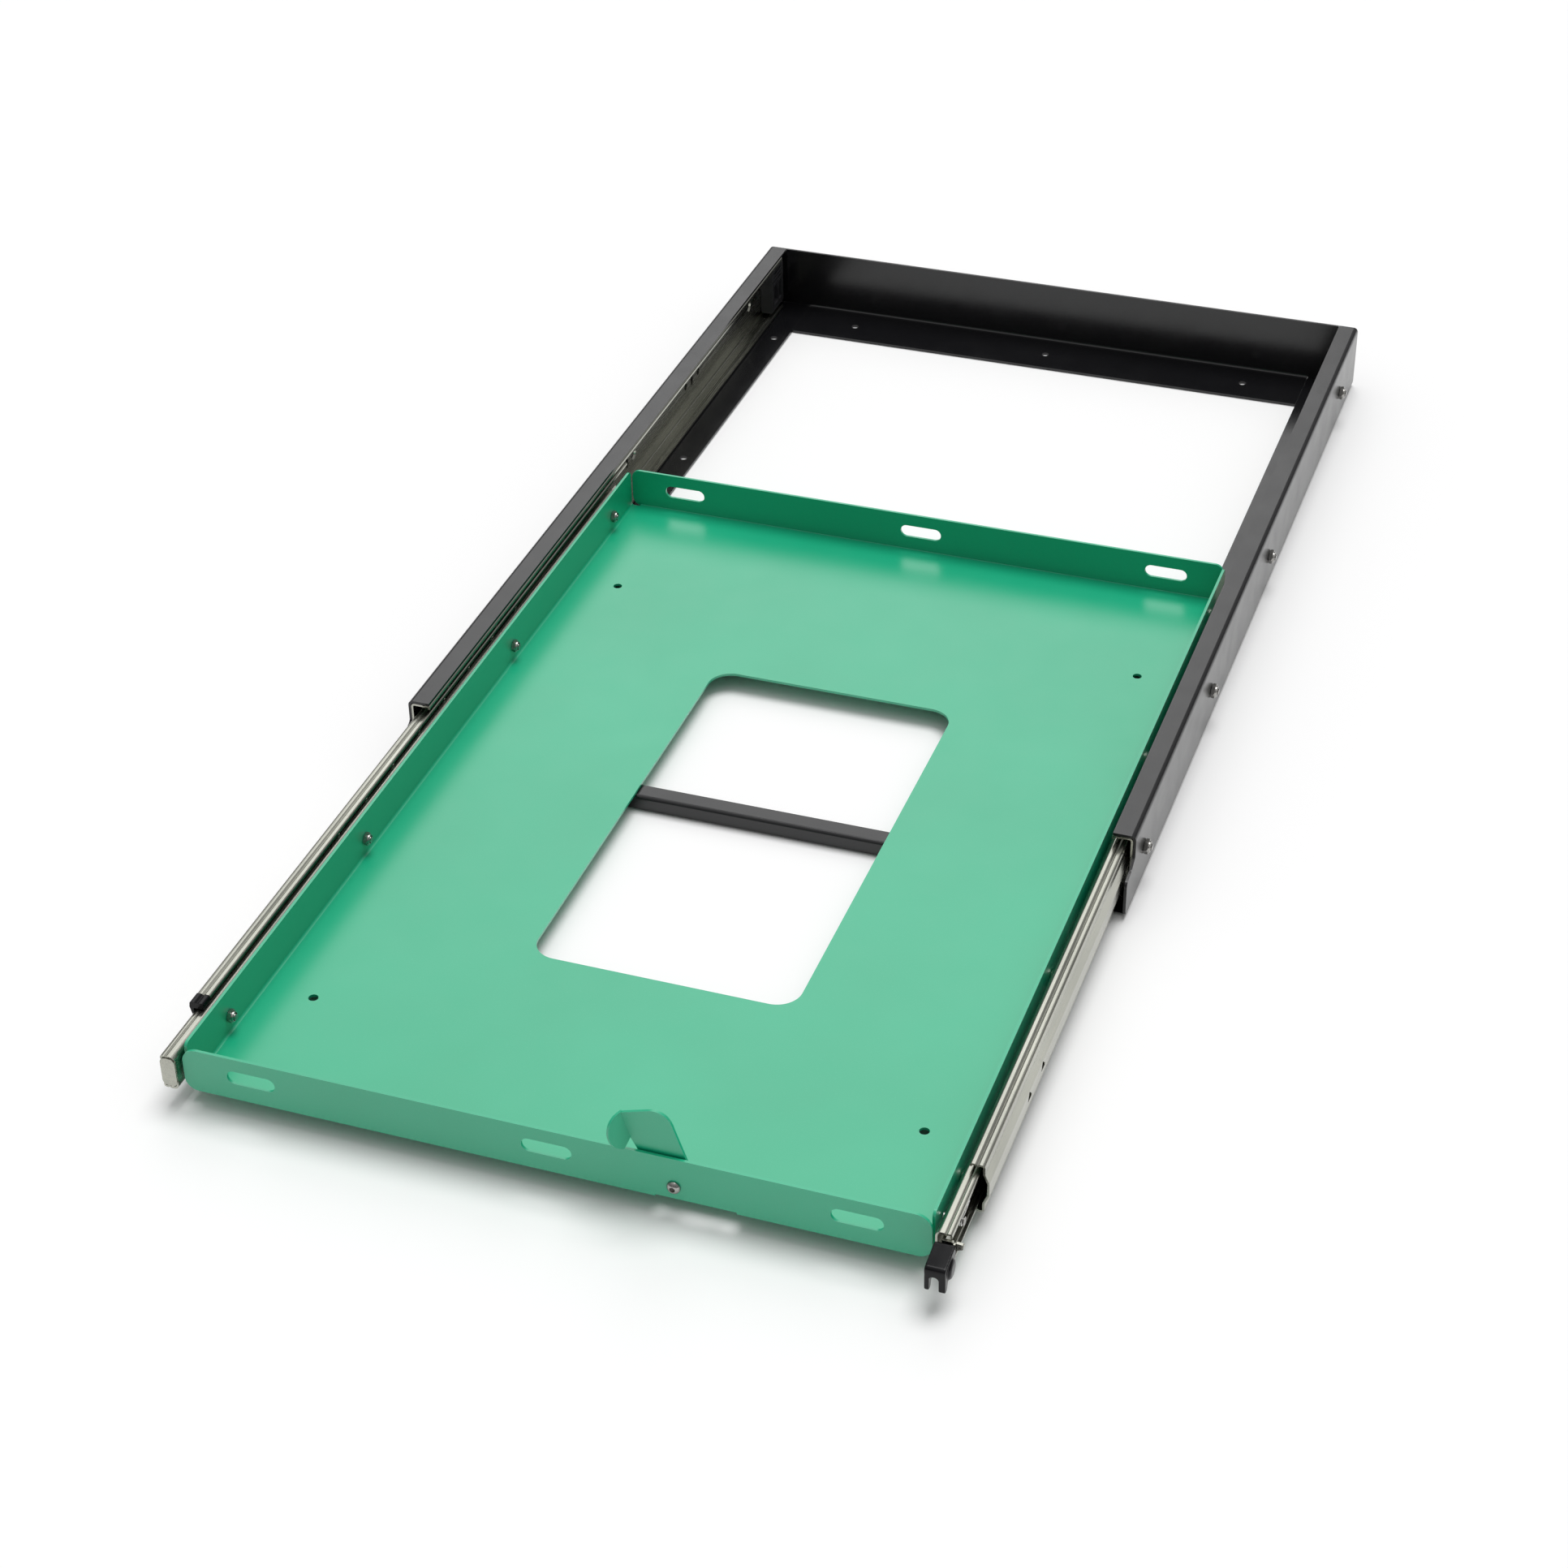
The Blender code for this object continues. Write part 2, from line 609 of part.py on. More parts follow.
def make_tray_pan():
    middle = TRAY_SHEET / 2
    wall = TRAY_HALF_WIDTH - middle
    path = (
        (-wall, TRAY_TOP, 0.0),
        (-wall, TRAY_BOTTOM + middle, TRAY_BEND),
        (wall, TRAY_BOTTOM + middle, TRAY_BEND),
        (wall, TRAY_TOP, 0.0),
    )
    pan = extruded("tray_pan", "XZ", [sheet_outline(path, TRAY_SHEET)], WALL_FRONT, WALL_REAR)
    half = TRAY_HALF_WIDTH - 0.4
    pieces = [
        flange_piece(TRAY_FRONT, TRAY_FRONT + TRAY_SHEET, half),
        fold_piece(TRAY_FRONT, 1.0),
    ]
    boolean(pan, pieces, "UNION")
    pieces = [
        flange_piece(TRAY_REAR - TRAY_SHEET, TRAY_REAR, half - 1.6),
        fold_piece(TRAY_REAR, -1.0),
    ]
    boolean(pan, pieces, "UNION")
    x0, y0, x1, y1 = WINDOW
    left, right = LATCH_SLOT
    slot = [(left, TRAY_FRONT + TRAY_SHEET), (right, TRAY_FRONT + TRAY_SHEET),
            (right, TRAY_FRONT + 9.0), (left, TRAY_FRONT + 9.0)]
    notch = [(left, TRAY_FRONT - 3.0), (right, TRAY_FRONT - 3.0),
             (right, TRAY_FRONT + 4.0), (left, TRAY_FRONT + 4.0)]
    tools = [
        extruded("window", "XY", [rounded_box(x0, y0, x1, y1, WINDOW_CORNER, 5)], 5.0, 25.0),
        extruded("latch_slot", "XY", [slot], 5.0, TRAY_BOTTOM + 4.3),
    ]
    tools += drill("hole", "XY", FLOOR_HOLES, FLOOR_HOLE_RADIUS, 5.0, 25.0)
    tools += drill("latch_pivot", "XZ", [(LATCH_X, LATCH_Z)], CLEAR_HOLE, TRAY_FRONT - 3, TRAY_FRONT + 5)
    spots = [(y, SLIDE_MIDDLE) for y in TRAY_SCREWS]
    tools += drill("screw_hole", "YZ", spots, CLEAR_HOLE, -262.0, -248.0)
    tools += drill("screw_hole", "YZ", spots, CLEAR_HOLE, 248.0, 262.0)
    boolean(pan, tools + strap_slots(), "DIFFERENCE")
    boolean(pan, [extruded("latch_notch", "XY", [notch], 5.0, TRAY_BOTTOM + 1.4)], "DIFFERENCE")
    return keep(pan, GREEN_COAT)


# ---------------------------------------------------------------- latch


def turn_about(piece, pivot, axis, degrees):
    """Turns a piece and its Boolean operands about an axis through a point, and puts its origin there."""
    there = Matrix.Translation(Vector(pivot) * MM)
    turn = Matrix.Rotation(math.radians(degrees), 4, axis)
    for modifier in piece.modifiers:
        modifier.object.matrix_world = there @ turn @ there.inverted() @ modifier.object.matrix_world
    piece.data.transform(there.inverted() @ piece.matrix_world)
    piece.matrix_world = there @ turn


def wing_outline():
    """A lobe about a point left of the bend, joined to the plate along the bend's upper part only."""
    edge = LATCH_X + LATCH_EDGE
    middle = LATCH_Z + WING_HEIGHT
    angles = [math.radians(90.0 + WING_SWEEP * k / 12) for k in range(13)]
    lobe = [Vector((edge - WING_OUT + WING_RADIUS * math.cos(t), middle + WING_RADIUS * math.sin(t)))
            for t in angles]
    root = [(edge, middle - WING_ROOT), (edge + 0.9, middle - WING_ROOT), (edge + 0.9, middle + WING_RADIUS)]
    return lobe + [Vector(point) for point in root]


def make_latch():
    """A swinging plate: a finger wing above the flange and a tooth that drops through the floor's slot."""
    blade = fillet(
        [(-14.5, -1.0, 3.0), (-8.0, -6.5, 3.0), (19.0, -6.5, 2.0), (22.0, -9.0, 1.0), (22.0, -15.5, 1.5),
         (33.5, -15.5, 2.5), (33.5, -6.0, 3.0), (14.2, 4.0, 4.0), (13.6, 58.0, 12.0), (LATCH_EDGE, 58.0, 0.0),
         (LATCH_EDGE, 39.0, 0.0), (-16.8, 30.0, 3.0)], 3
    )
    outline = [Vector((LATCH_X + p.x, LATCH_Z + p.y)) for p in blade]
    hole = circle(LATCH_X, LATCH_Z, CLEAR_HOLE)
    latch = extruded("latch_lever", "XZ", [outline, hole], LATCH_FRONT, LATCH_FRONT + LATCH_SHEET)
    wing = extruded("wing", "XZ", [wing_outline()], LATCH_FRONT, LATCH_FRONT + LATCH_SHEET)
    bend = Vector((LATCH_X + LATCH_EDGE, LATCH_FRONT + LATCH_SHEET / 2, 0.0))
    fold = Matrix.Translation(bend * MM)
    swing = Matrix.Rotation(math.radians(WING_FOLD), 4, "Z")
    wing.matrix_world = fold @ swing @ fold.inverted() @ wing.matrix_world
    boolean(latch, [wing], "UNION")
    latch = keep(latch, GREEN_COAT)
    turn_about(latch, (LATCH_X, LATCH_FRONT, LATCH_Z), "Y", -LATCH_LEAN)
    return latch


def make_latch_pivot():
    front = TRAY_FRONT - GAP
    profile = [(0, 2.9), (2.0, 2.8), (3.8, 1.8), (4.7, 0.0), (SHANK, 0.0), (SHANK, -11.0), (0, -11.0)]
    keep(turned("latch_pivot_screw", profile, (LATCH_X, front, LATCH_Z), (0, -1, 0), 16), STEEL_ZINC)
    hexagon = circle(LATCH_X, LATCH_Z, TRAY_NUT / math.sqrt(3), 6)
    hole = circle(LATCH_X, LATCH_Z, NUT_HOLE, 10)
    face = LATCH_FRONT + LATCH_SHEET + GAP
    keep(extruded("latch_pivot_nut", "XZ", [hexagon, hole], face, face + NUT_THICKNESS), STEEL_ZINC)


# ---------------------------------------------------------------- lock lever


def make_lock_lever():
    """A steel plate inside the right inner member, with a neck for the grip and a tab to the outside."""
    y, z = LOCK_PIVOT
    root, tab_rear = INNER_SPAN[0] + 2.0, INNER_SPAN[0] - GAP
    neck_top, neck_bottom = z + LEVER_NECK[0], z + LEVER_NECK[1]
    plate = fillet(
        [(LEVER_FRONT, neck_top, 1.0), (LEVER_FRONT, neck_bottom, 1.0), (root - 3.0, neck_bottom, 0.0),
         (root, z - 7.5, 1.5), (y + 5.3, z - 5.3, 4.5), (y + 5.3, z + 5.3, 4.5),
         (tab_rear - LEVER_TAB, z + 5.0, 0.0), (tab_rear - LEVER_TAB, neck_top, 0.0)]
    )
    inner, outer = web_x(1.0, LEVER_SHEET[0]), web_x(1.0, LEVER_SHEET[1])
    lever = extruded("lock_lever", "YZ", [plate, circle(y, z, 2.3)], inner, outer)
    tab = fillet(
        [(inner + 0.5, z - 1.5, 0.0), (web_x(1.0, 5.0), z - 1.0, 1.0), (web_x(1.0, 1.2), z + 0.4, 1.0),
         (web_x(1.0, 0.5), z + 4.4, 0.8), (web_x(1.0, 5.4), z + 4.6, 0.0), (web_x(1.0, 5.8), z + 3.2, 0.6),
         (web_x(1.0, 7.4), z + 3.2, 0.6), (web_x(1.0, 7.6), z + 5.0, 0.0), (inner + 0.5, z + 5.0, 0.0)]
    )
    boolean(lever, [extruded("tab", "XZ", [tab], tab_rear - LEVER_TAB, tab_rear)], "UNION")
    lever = keep(lever, STEEL_ZINC)
    turn_about(lever, (inner, y, z), "X", 0.0)
    return lever


def make_lock_grip():
    """The moulded sleeve on the lever's neck: a hood that ends in a fork, with a finger pad outside."""
    y, z = LOCK_PIVOT
    middle = SLIDE_MIDDLE
    back, front = GRIP_SPAN
    hood = fillet(
        [(back, middle + 9.3, 1.0), (back, middle - 1.0, 1.5), (front + 9.0, middle - 1.5, 2.0),
         (front + 5.5, middle - 13.0, 2.2), (front + 0.4, middle - 13.0, 2.2), (front, middle + 6.8, 3.0)]
    )
    left, right = web_x(1.0, 19.1), web_x(1.0, 5.2)
    grip = extruded("lock_lever_grip", "YZ", [hood], left, right)
    pad = circle((back + front) / 2, middle + 2.2, 7.3, 16)
    boolean(grip, [extruded("pad", "YZ", [pad], right - 3.0, right + 2.4)], "UNION")
    gap = rounded_box(left + 3.3, middle - 40.0, right - 4.4, middle - 0.6, 3.0)
    inner, outer = web_x(1.0, LEVER_SHEET[0]), web_x(1.0, LEVER_SHEET[1])
    socket = [(LEVER_FRONT - GAP, z + LEVER_NECK[0] + GAP), (LEVER_FRONT - GAP, z + LEVER_NECK[1] - GAP),
              (back + 5.0, z + LEVER_NECK[1] - GAP), (back + 5.0, z + LEVER_NECK[0] + GAP)]
    tools = [
        extruded("fork_gap", "XZ", [gap], front - 10.0, front + 7.0),
        extruded("socket", "YZ", [socket], inner - GAP, outer + GAP),
    ]
    boolean(grip, tools, "DIFFERENCE")
    grip = keep(grip, BLACK_PLASTIC)
    turn_about(grip, (inner, y, z), "X", 0.0)
    return grip


def make_lock_rivet():
    y, z = LOCK_PIVOT
    profile = [(0, 0.9), (3.6, 0.9), (3.6, -0.3), (1.9, -0.3), (1.9, -12.0), (3.0, -12.0),
               (3.0, -12.8), (0, -12.8)]
    origin = (web_x(1.0, 19.4 + GAP * 2), y, z)
    keep(turned("lock_lever_rivet", profile, origin, (-1, 0, 0)), STEEL_ZINC)


def make_lock_spring():
    """A torsion spring round the rivet, with one leg along the lever and the other along the slide."""
    y, z = LOCK_PIVOT
    start = web_x(1.0, LEVER_SHEET[1]) + GAP + SPRING_WIRE
    coil = []
    for k in range(SPRING_TURNS * SPRING_STEPS + 1):
        turn = 2 * math.pi * k / SPRING_STEPS
        along = start + SPRING_PITCH * k / SPRING_STEPS
        coil.append((along, y + SPRING_RADIUS * math.sin(turn), z + SPRING_RADIUS * math.cos(turn)))
    front_leg = [(start, y - 9.0, z + SPRING_RADIUS), (start, y - 2.5, z + SPRING_RADIUS)]
    rear_leg = [(coil[-1][0], y + 4.0, z + SPRING_RADIUS), (coil[-1][0], y + 14.0, z + SPRING_RADIUS + 1.6)]
    points = front_leg + coil + rear_leg
    curve = bpy.data.curves.new("lock_spring", "CURVE")
    curve.dimensions = "3D"
    curve.bevel_depth = SPRING_WIRE * MM
    curve.bevel_resolution = 1
    curve.use_fill_caps = True
    spline = curve.splines.new("POLY")
    spline.points.add(len(points) - 1)
    for target, point in zip(spline.points, points):
        target.co = (point[0] * MM, point[1] * MM, point[2] * MM, 1.0)
    return keep(bpy.data.objects.new("lock_spring", curve), BRIGHT_STEEL)


# ---------------------------------------------------------------- assembly


def make_frame():
    for word, side in SIDES:
        make_rail(word + "_side_rail", side)
    make_rear_panel()
    make_cross_member()


def make_slides():
    for word, side in SIDES:
        make_outer_member(word + "_outer_member", side)
        make_rear_stop(word + "_rear_stop", side)
        make_intermediate(word + "_intermediate_member", side)
        make_inner_member(word + "_inner_member", side)
        for level, up in (("upper", 1.0), ("lower", -1.0)):
            make_outer_cage(f"{word}_outer_cage_{level}", side, up)
        make_inner_cage(word + "_inner_cage", side)
    make_front_bumper()


def make_fasteners():
    for word, side in SIDES:
        rail_face = side * FRAME_WIDTH / 2
        tray_face = side * (TRAY_HALF_WIDTH - TRAY_SHEET)
        for number, y in enumerate(RAIL_SCREWS, 1):
            make_rail_screw(f"{word}_rail_screw_{number}", side, y)
            make_nut(f"{word}_rail_nut_{number}", RAIL_NUT, y, rail_face, side)
        for number, y in enumerate(TRAY_SCREWS, 1):
            make_tray_screw(f"{word}_tray_screw_{number}", side, y)
            make_nut(f"{word}_tray_nut_{number}", TRAY_NUT, y, tray_face, -side)


clear_scene()
OBJECT = make_collection("slide_out_tray")
CUTTERS = make_collection("cutters")
make_frame()
make_slides()
make_fasteners()
make_tray_pan()
make_latch()
make_latch_pivot()
make_lock_lever()
make_lock_grip()
make_lock_rivet()
make_lock_spring()
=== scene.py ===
import json
import math

import bmesh
import bpy
from mathutils import Matrix, Vector


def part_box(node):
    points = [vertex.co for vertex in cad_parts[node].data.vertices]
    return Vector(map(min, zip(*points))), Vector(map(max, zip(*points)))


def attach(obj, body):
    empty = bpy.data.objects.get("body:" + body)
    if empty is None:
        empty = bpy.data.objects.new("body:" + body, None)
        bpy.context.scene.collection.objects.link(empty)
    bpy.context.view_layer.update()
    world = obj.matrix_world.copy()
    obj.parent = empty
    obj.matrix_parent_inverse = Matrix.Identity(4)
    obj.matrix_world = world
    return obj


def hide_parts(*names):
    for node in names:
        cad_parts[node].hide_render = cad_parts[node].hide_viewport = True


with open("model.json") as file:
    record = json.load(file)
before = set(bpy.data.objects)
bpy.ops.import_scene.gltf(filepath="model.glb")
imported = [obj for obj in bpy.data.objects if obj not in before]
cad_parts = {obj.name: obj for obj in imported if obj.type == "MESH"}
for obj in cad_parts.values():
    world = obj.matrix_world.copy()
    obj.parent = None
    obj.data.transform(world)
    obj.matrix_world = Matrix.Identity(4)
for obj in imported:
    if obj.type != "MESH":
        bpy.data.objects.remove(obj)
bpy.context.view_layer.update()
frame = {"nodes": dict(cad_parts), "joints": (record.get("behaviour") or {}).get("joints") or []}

MM = 0.001

# Lengths are millimetres in the frame's axes: X right, -Y front, +Z up.
GAP = 0.3
SHEET = 2.0
BEND = 3.0
ARC_STEPS = 6
SLIDE_MIDDLE = 28.5
SIDES = (("left", -1.0), ("right", 1.0))
SCREWS_A_SIDE = 4

# An outline's two values lie along the plane's two axes, and its thickness along the plane's normal.
PLANES = {
    "XZ": Matrix(((1, 0, 0, 0), (0, 0, -1, 0), (0, 1, 0, 0), (0, 0, 0, 1))),
    "YZ": Matrix(((0, 0, 1, 0), (1, 0, 0, 0), (0, 1, 0, 0), (0, 0, 0, 1))),
    "XY": Matrix.Identity(4),
}
NORMALS = {"XZ": Vector((0, 1, 0)), "YZ": Vector((1, 0, 0)), "XY": Vector((0, 0, 1))}


def box_mm(node):
    low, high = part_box(node)
    return low / MM, high / MM


def middle_mm(node):
    low, high = box_mm(node)
    return (low + high) / 2


def screw_spots(word, kind):
    """How far back each of a side's screws is, from the CAD."""
    return [middle_mm(f"{word}_{kind}_screw_{n}").y for n in range(1, SCREWS_A_SIDE + 1)]


# ---------------------------------------------------------------- outlines


def fillet(corners, steps=ARC_STEPS, closed=True):
    """Turns corners (a, b, radius) into points, with an arc at each corner whose radius isn't 0."""
    points = []
    count = len(corners)
    for i, (a, b, radius) in enumerate(corners):
        here = Vector((a, b))
        if radius <= 0.0 or (not closed and i in (0, count - 1)):
            points.append(here)
            continue
        before = Vector(corners[i - 1][:2]) - here
        after = Vector(corners[(i + 1) % count][:2]) - here
        half = before.angle(after) / 2
        reach = radius / math.tan(half)
        start = here + before.normalized() * reach
        end = here + after.normalized() * reach
        centre = here + (before.normalized() + after.normalized()).normalized() * (radius / math.sin(half))
        first = (start - centre).normalized()
        turn = (start - centre).angle_signed(end - centre)
        for k in range(steps + 1):
            angle = -turn * k / steps
            cos, sin = math.cos(angle), math.sin(angle)
            spoke = Vector((first.x * cos - first.y * sin, first.x * sin + first.y * cos))
            points.append(centre + spoke * radius)
    return points


def rounded_box(a0, b0, a1, b1, radius, steps=ARC_STEPS):
    return fillet([(a0, b0, radius), (a1, b0, radius), (a1, b1, radius), (a0, b1, radius)], steps)


def circle(a, b, radius, count=32, turn=0.0):
    angles = [turn + 2 * math.pi * k / count for k in range(count)]
    return [Vector((a + radius * math.cos(t), b + radius * math.sin(t))) for t in angles]


def sheet_outline(path, thickness, steps=ARC_STEPS):
    """The closed outline of a bent sheet whose mid line runs through the open path."""
    line = fillet(path, steps, closed=False)
    one_side, other_side = [], []
    for i, point in enumerate(line):
        along_in = (point - line[i - 1]).normalized() if i else (line[1] - point).normalized()
        along_out = (line[i + 1] - point).normalized() if i < len(line) - 1 else along_in
        across_in = Vector((-along_in.y, along_in.x))
        across_out = Vector((-along_out.y, along_out.x))
        across = (across_in + across_out).normalized()
        reach = thickness / 2 / max(0.5, across.dot(across_in))
        one_side.append(point + across * reach)
        other_side.append(point - across * reach)
    return one_side + other_side[::-1]


def mirrored_path(half):
    return list(half) + [(a, -b, r) for a, b, r in reversed(half)]


# ---------------------------------------------------------------- solids


def linked(name, data):
    """A new object in the scene."""
    thing = bpy.data.objects.new(name, data)
    bpy.context.scene.collection.objects.link(thing)
    return thing


def placed(origin, direction):
    """The transform that stands a piece on a point, with its Z along a direction."""
    turn = Vector((0, 0, 1)).rotation_difference(Vector(direction)).to_matrix().to_4x4()
    return Matrix.Translation(Vector(origin) * MM) @ turn


def add_line(curve, points, closed):
    """Adds a straight-sided spline to a curve."""
    spline = curve.splines.new("POLY")
    spline.points.add(len(points) - 1)
    for target, (x, y, z) in zip(spline.points, points):
        target.co = (x * MM, y * MM, z * MM, 1.0)
    spline.use_cyclic_u = closed


def tidy(mesh):
    """Joins the doubled points and turns every face outward."""
    work = bmesh.new()
    work.from_mesh(mesh)
    bmesh.ops.remove_doubles(work, verts=work.verts, dist=1e-6)
    bmesh.ops.recalc_face_normals(work, faces=work.faces)
    work.to_mesh(mesh)
    work.free()


def baked(thing):
    """The plain mesh object that a piece makes with its modifiers, in world coordinates."""
    if thing.name not in bpy.context.scene.collection.objects:
        bpy.context.scene.collection.objects.link(thing)
    bpy.context.view_layer.update()
    graph = bpy.context.evaluated_depsgraph_get()
    mesh = bpy.data.meshes.new_from_object(thing.evaluated_get(graph))
    mesh.transform(thing.matrix_world)
    name = thing.name
    bpy.data.objects.remove(thing, do_unlink=True)
    return linked(name, mesh)


def extruded(name, plane, loops, low, high):
    """A flat outline with holes in one plane, made solid between two values on the plane's normal."""
    curve = bpy.data.curves.new(name, "CURVE")
    curve.dimensions = "2D"
    curve.fill_mode = "BOTH"
    curve.extrude = (high - low) / 2 * MM
    for loop in loops:
        add_line(curve, [(a, b, 0.0) for a, b in loop], True)
    flat = bpy.data.objects.new(name, curve)
    flat.matrix_world = Matrix.Translation(NORMALS[plane] * ((low + high) / 2 * MM)) @ PLANES[plane]
    solid = baked(flat)
    tidy(solid.data)
    return solid


def turned(name, profile, origin, direction, steps=32):
    """A solid of revolution. The profile is (radius, height) from the top of its axis to the bottom."""
    mesh = bpy.data.meshes.new(name)
    points = [(radius * MM, 0.0, height * MM) for radius, height in profile]
    mesh.from_pydata(points, [(i, i + 1) for i in range(len(points) - 1)], [])
    solid = bpy.data.objects.new(name, mesh)
    solid.matrix_world = placed(origin, direction)
    screw = solid.modifiers.new("turn", "SCREW")
    screw.axis = "Z"
    screw.angle = 2 * math.pi
    screw.steps = steps
    screw.render_steps = steps
    screw.use_merge_vertices = True
    screw.merge_threshold = 1e-5
    screw.use_smooth_shade = False
    solid = baked(solid)
    tidy(solid.data)
    return solid


def joined(name, shapes):
    """Several solids in one object, which may overlap."""
    work = bmesh.new()
    for shape in shapes:
        work.from_mesh(shape.data)
        bpy.data.objects.remove(shape, do_unlink=True)
    mesh = bpy.data.meshes.new(name)
    work.to_mesh(mesh)
    work.free()
    return linked(name, mesh)


def combine(target, shapes, operation):
    """Applies one Boolean with all the shapes together."""
    tool = joined(target.name + "_tool", shapes)
    modifier = target.modifiers.new("cut", "BOOLEAN")
    modifier.operation = operation
    modifier.solver = "EXACT"
    modifier.use_self = operation == "UNION"
    modifier.object = tool
    result = baked(target)
    bpy.data.objects.remove(tool, do_unlink=True)
    return result


def drill(plane, spots, radius, low, high):
    """Round cutters at the spots, turned a little so that no corner lines up with a straight edge."""
    return [extruded("drill", plane, [circle(a, b, radius, turn=0.1)], low, high) for a, b in spots]


def softened(thing, width, segments=2, angle=35.0):
    """Rounds the sharp edges and gives the piece smooth shading that keeps its flat faces flat."""
    bevel = thing.modifiers.new("edges", "BEVEL")
    bevel.width = width * MM
    bevel.segments = segments
    bevel.limit_method = "ANGLE"
    bevel.angle_limit = math.radians(angle)
    bevel.use_clamp_overlap = True
    thing = baked(thing)
    smooth(thing, angle)
    weighted = thing.modifiers.new("normals", "WEIGHTED_NORMAL")
    weighted.keep_sharp = True
    return thing


def smooth(thing, angle):
    thing.data.shade_smooth()
    thing.data.set_sharp_from_angle(angle=math.radians(angle))


def copy_of(thing, name, place):
    twin = linked(name, thing.data.copy())
    twin.data.transform(place)
    for modifier in thing.modifiers:
        twin.modifiers.new(modifier.name, modifier.type)
    return twin


# ---------------------------------------------------------------- materials


def set_stops(node, stops):
    """Gives a colour ramp its stops (position, colour)."""
    elements = node.color_ramp.elements
    while len(elements) < len(stops):
        elements.new(0.5)
    for element, (position, colour) in zip(elements, stops):
        element.position = position
        element.color = (*colour, 1.0)


NOISE_SPAN = (0.3, 0.7)


class Look:
    """A node material and short ways to add nodes to it."""

    def __init__(self, name, roughness, metallic=0.0):
        self.material = bpy.data.materials.new(name)
        self.material.use_nodes = True
        self.tree = self.material.node_tree
        self.shader = self.tree.nodes["Principled BSDF"]
        self.shader.inputs["Roughness"].default_value = roughness
        self.shader.inputs["Metallic"].default_value = metallic
        self.place = self.add("ShaderNodeTexCoord").outputs["Object"]

    def add(self, kind, **inputs):
        node = self.tree.nodes.new(kind)
        for name, value in inputs.items():
            self.feed(node.inputs[name.replace("_", " ")], value)
        return node

    def feed(self, socket, value):
        if isinstance(value, bpy.types.NodeSocket):
            self.tree.links.new(value, socket)
        else:
            socket.default_value = value

    def stretched(self, scale):
        node = self.add("ShaderNodeMapping", Vector=self.place)
        node.inputs["Scale"].default_value = scale
        return node.outputs["Vector"]

    def noise(self, scale, detail=3.0, roughness=0.5, vector=None):
        vector = self.place if vector is None else vector
        return self.add("ShaderNodeTexNoise", Vector=vector, Scale=scale, Detail=detail,
                        Roughness=roughness).outputs["Fac"]

    def ranged(self, value, low, high, to_low, to_high):
        node = self.add("ShaderNodeMapRange", Value=value)
        node.inputs["From Min"].default_value = low
        node.inputs["From Max"].default_value = high
        node.inputs["To Min"].default_value = to_low
        node.inputs["To Max"].default_value = to_high
        return node.outputs["Result"]

    def between(self, value, first, second):
        """A colour that runs from the first to the second as a noise runs over its usual values."""
        node = self.add("ShaderNodeValToRGB", Fac=self.ranged(value, *NOISE_SPAN, 0.0, 1.0))
        set_stops(node, ((0.0, first), (1.0, second)))
        return node.outputs["Color"]

    def edge_highlighted(self, radius, most, body, edge):
        """The body's colour, with up to so much of another painted on the sharp outer edges as a highlight.
        """
        return self.mixed(self.ranged(self.edges(radius), 0.0, 1.0, 0.0, most), body, edge)

    def mixed(self, factor, first, second):
        node = self.add("ShaderNodeMix")
        node.data_type = "RGBA"
        self.feed(node.inputs["Factor"], factor)
        for name, value in (("A", first), ("B", second)):
            socket = [s for s in node.inputs if s.name == name and s.type == "RGBA"][0]
            self.feed(socket, (*value, 1.0) if isinstance(value, tuple) else value)
        return [s for s in node.outputs if s.type == "RGBA"][0]

    def edges(self, radius, low=0.02, high=0.25):
        """1 on sharp outer edges and 0 on flats: how far a rounded normal differs from the true one."""
        rounded = self.add("ShaderNodeBevel")
        rounded.samples = 4
        rounded.inputs["Radius"].default_value = radius * MM
        true_normal = self.add("ShaderNodeNewGeometry").outputs["Normal"]
        dot = self.tree.nodes.new("ShaderNodeVectorMath")
        dot.operation = "DOT_PRODUCT"
        self.tree.links.new(rounded.outputs["Normal"], dot.inputs[0])
        self.tree.links.new(true_normal, dot.inputs[1])
        return self.ranged(dot.outputs["Value"], 1.0 - low, 1.0 - high, 0.0, 1.0)

    def bump(self, height, strength, distance, below=None):
        node = self.add("ShaderNodeBump", Height=height, Strength=strength, Distance=distance * MM)
        if below is not None:
            self.feed(node.inputs["Normal"], below)
        return node.outputs["Normal"]

    def colour(self, value):
        self.feed(self.shader.inputs["Base Color"], value)

    def roughness(self, value):
        self.feed(self.shader.inputs["Roughness"], value)

    def normal(self, value):
        self.feed(self.shader.inputs["Normal"], value)


def powder_coat(name, deep, light, edge, roughness, grain, specular, waves):
    """Powder coat: a slow drift in colour, a fine orange peel and a painted highlight, a lighter colour on
    the sharp edges.
    """
    look = Look(name, roughness)
    drift = look.noise(6.0, 4.0)
    speckle = look.noise(900.0, 2.0)
    body = look.between(drift, deep, light)
    body = look.mixed(look.ranged(speckle, 0.62, 0.8, 0.0, 0.35), body, edge)
    # Painted highlight: the sharp edges are mixed towards the lighter edge colour.
    look.colour(look.edge_highlighted(0.9, 0.55, body, edge))
    look.roughness(look.ranged(look.noise(40.0, 3.0), *NOISE_SPAN, roughness - 0.02, roughness + 0.03))
    peel = look.bump(look.noise(grain, 2.0, 0.6), 0.32, 0.06)
    look.normal(look.bump(look.noise(grain * 0.16, 2.0), waves, 0.12, peel))
    look.shader.inputs["Specular IOR Level"].default_value = specular
    return look.material


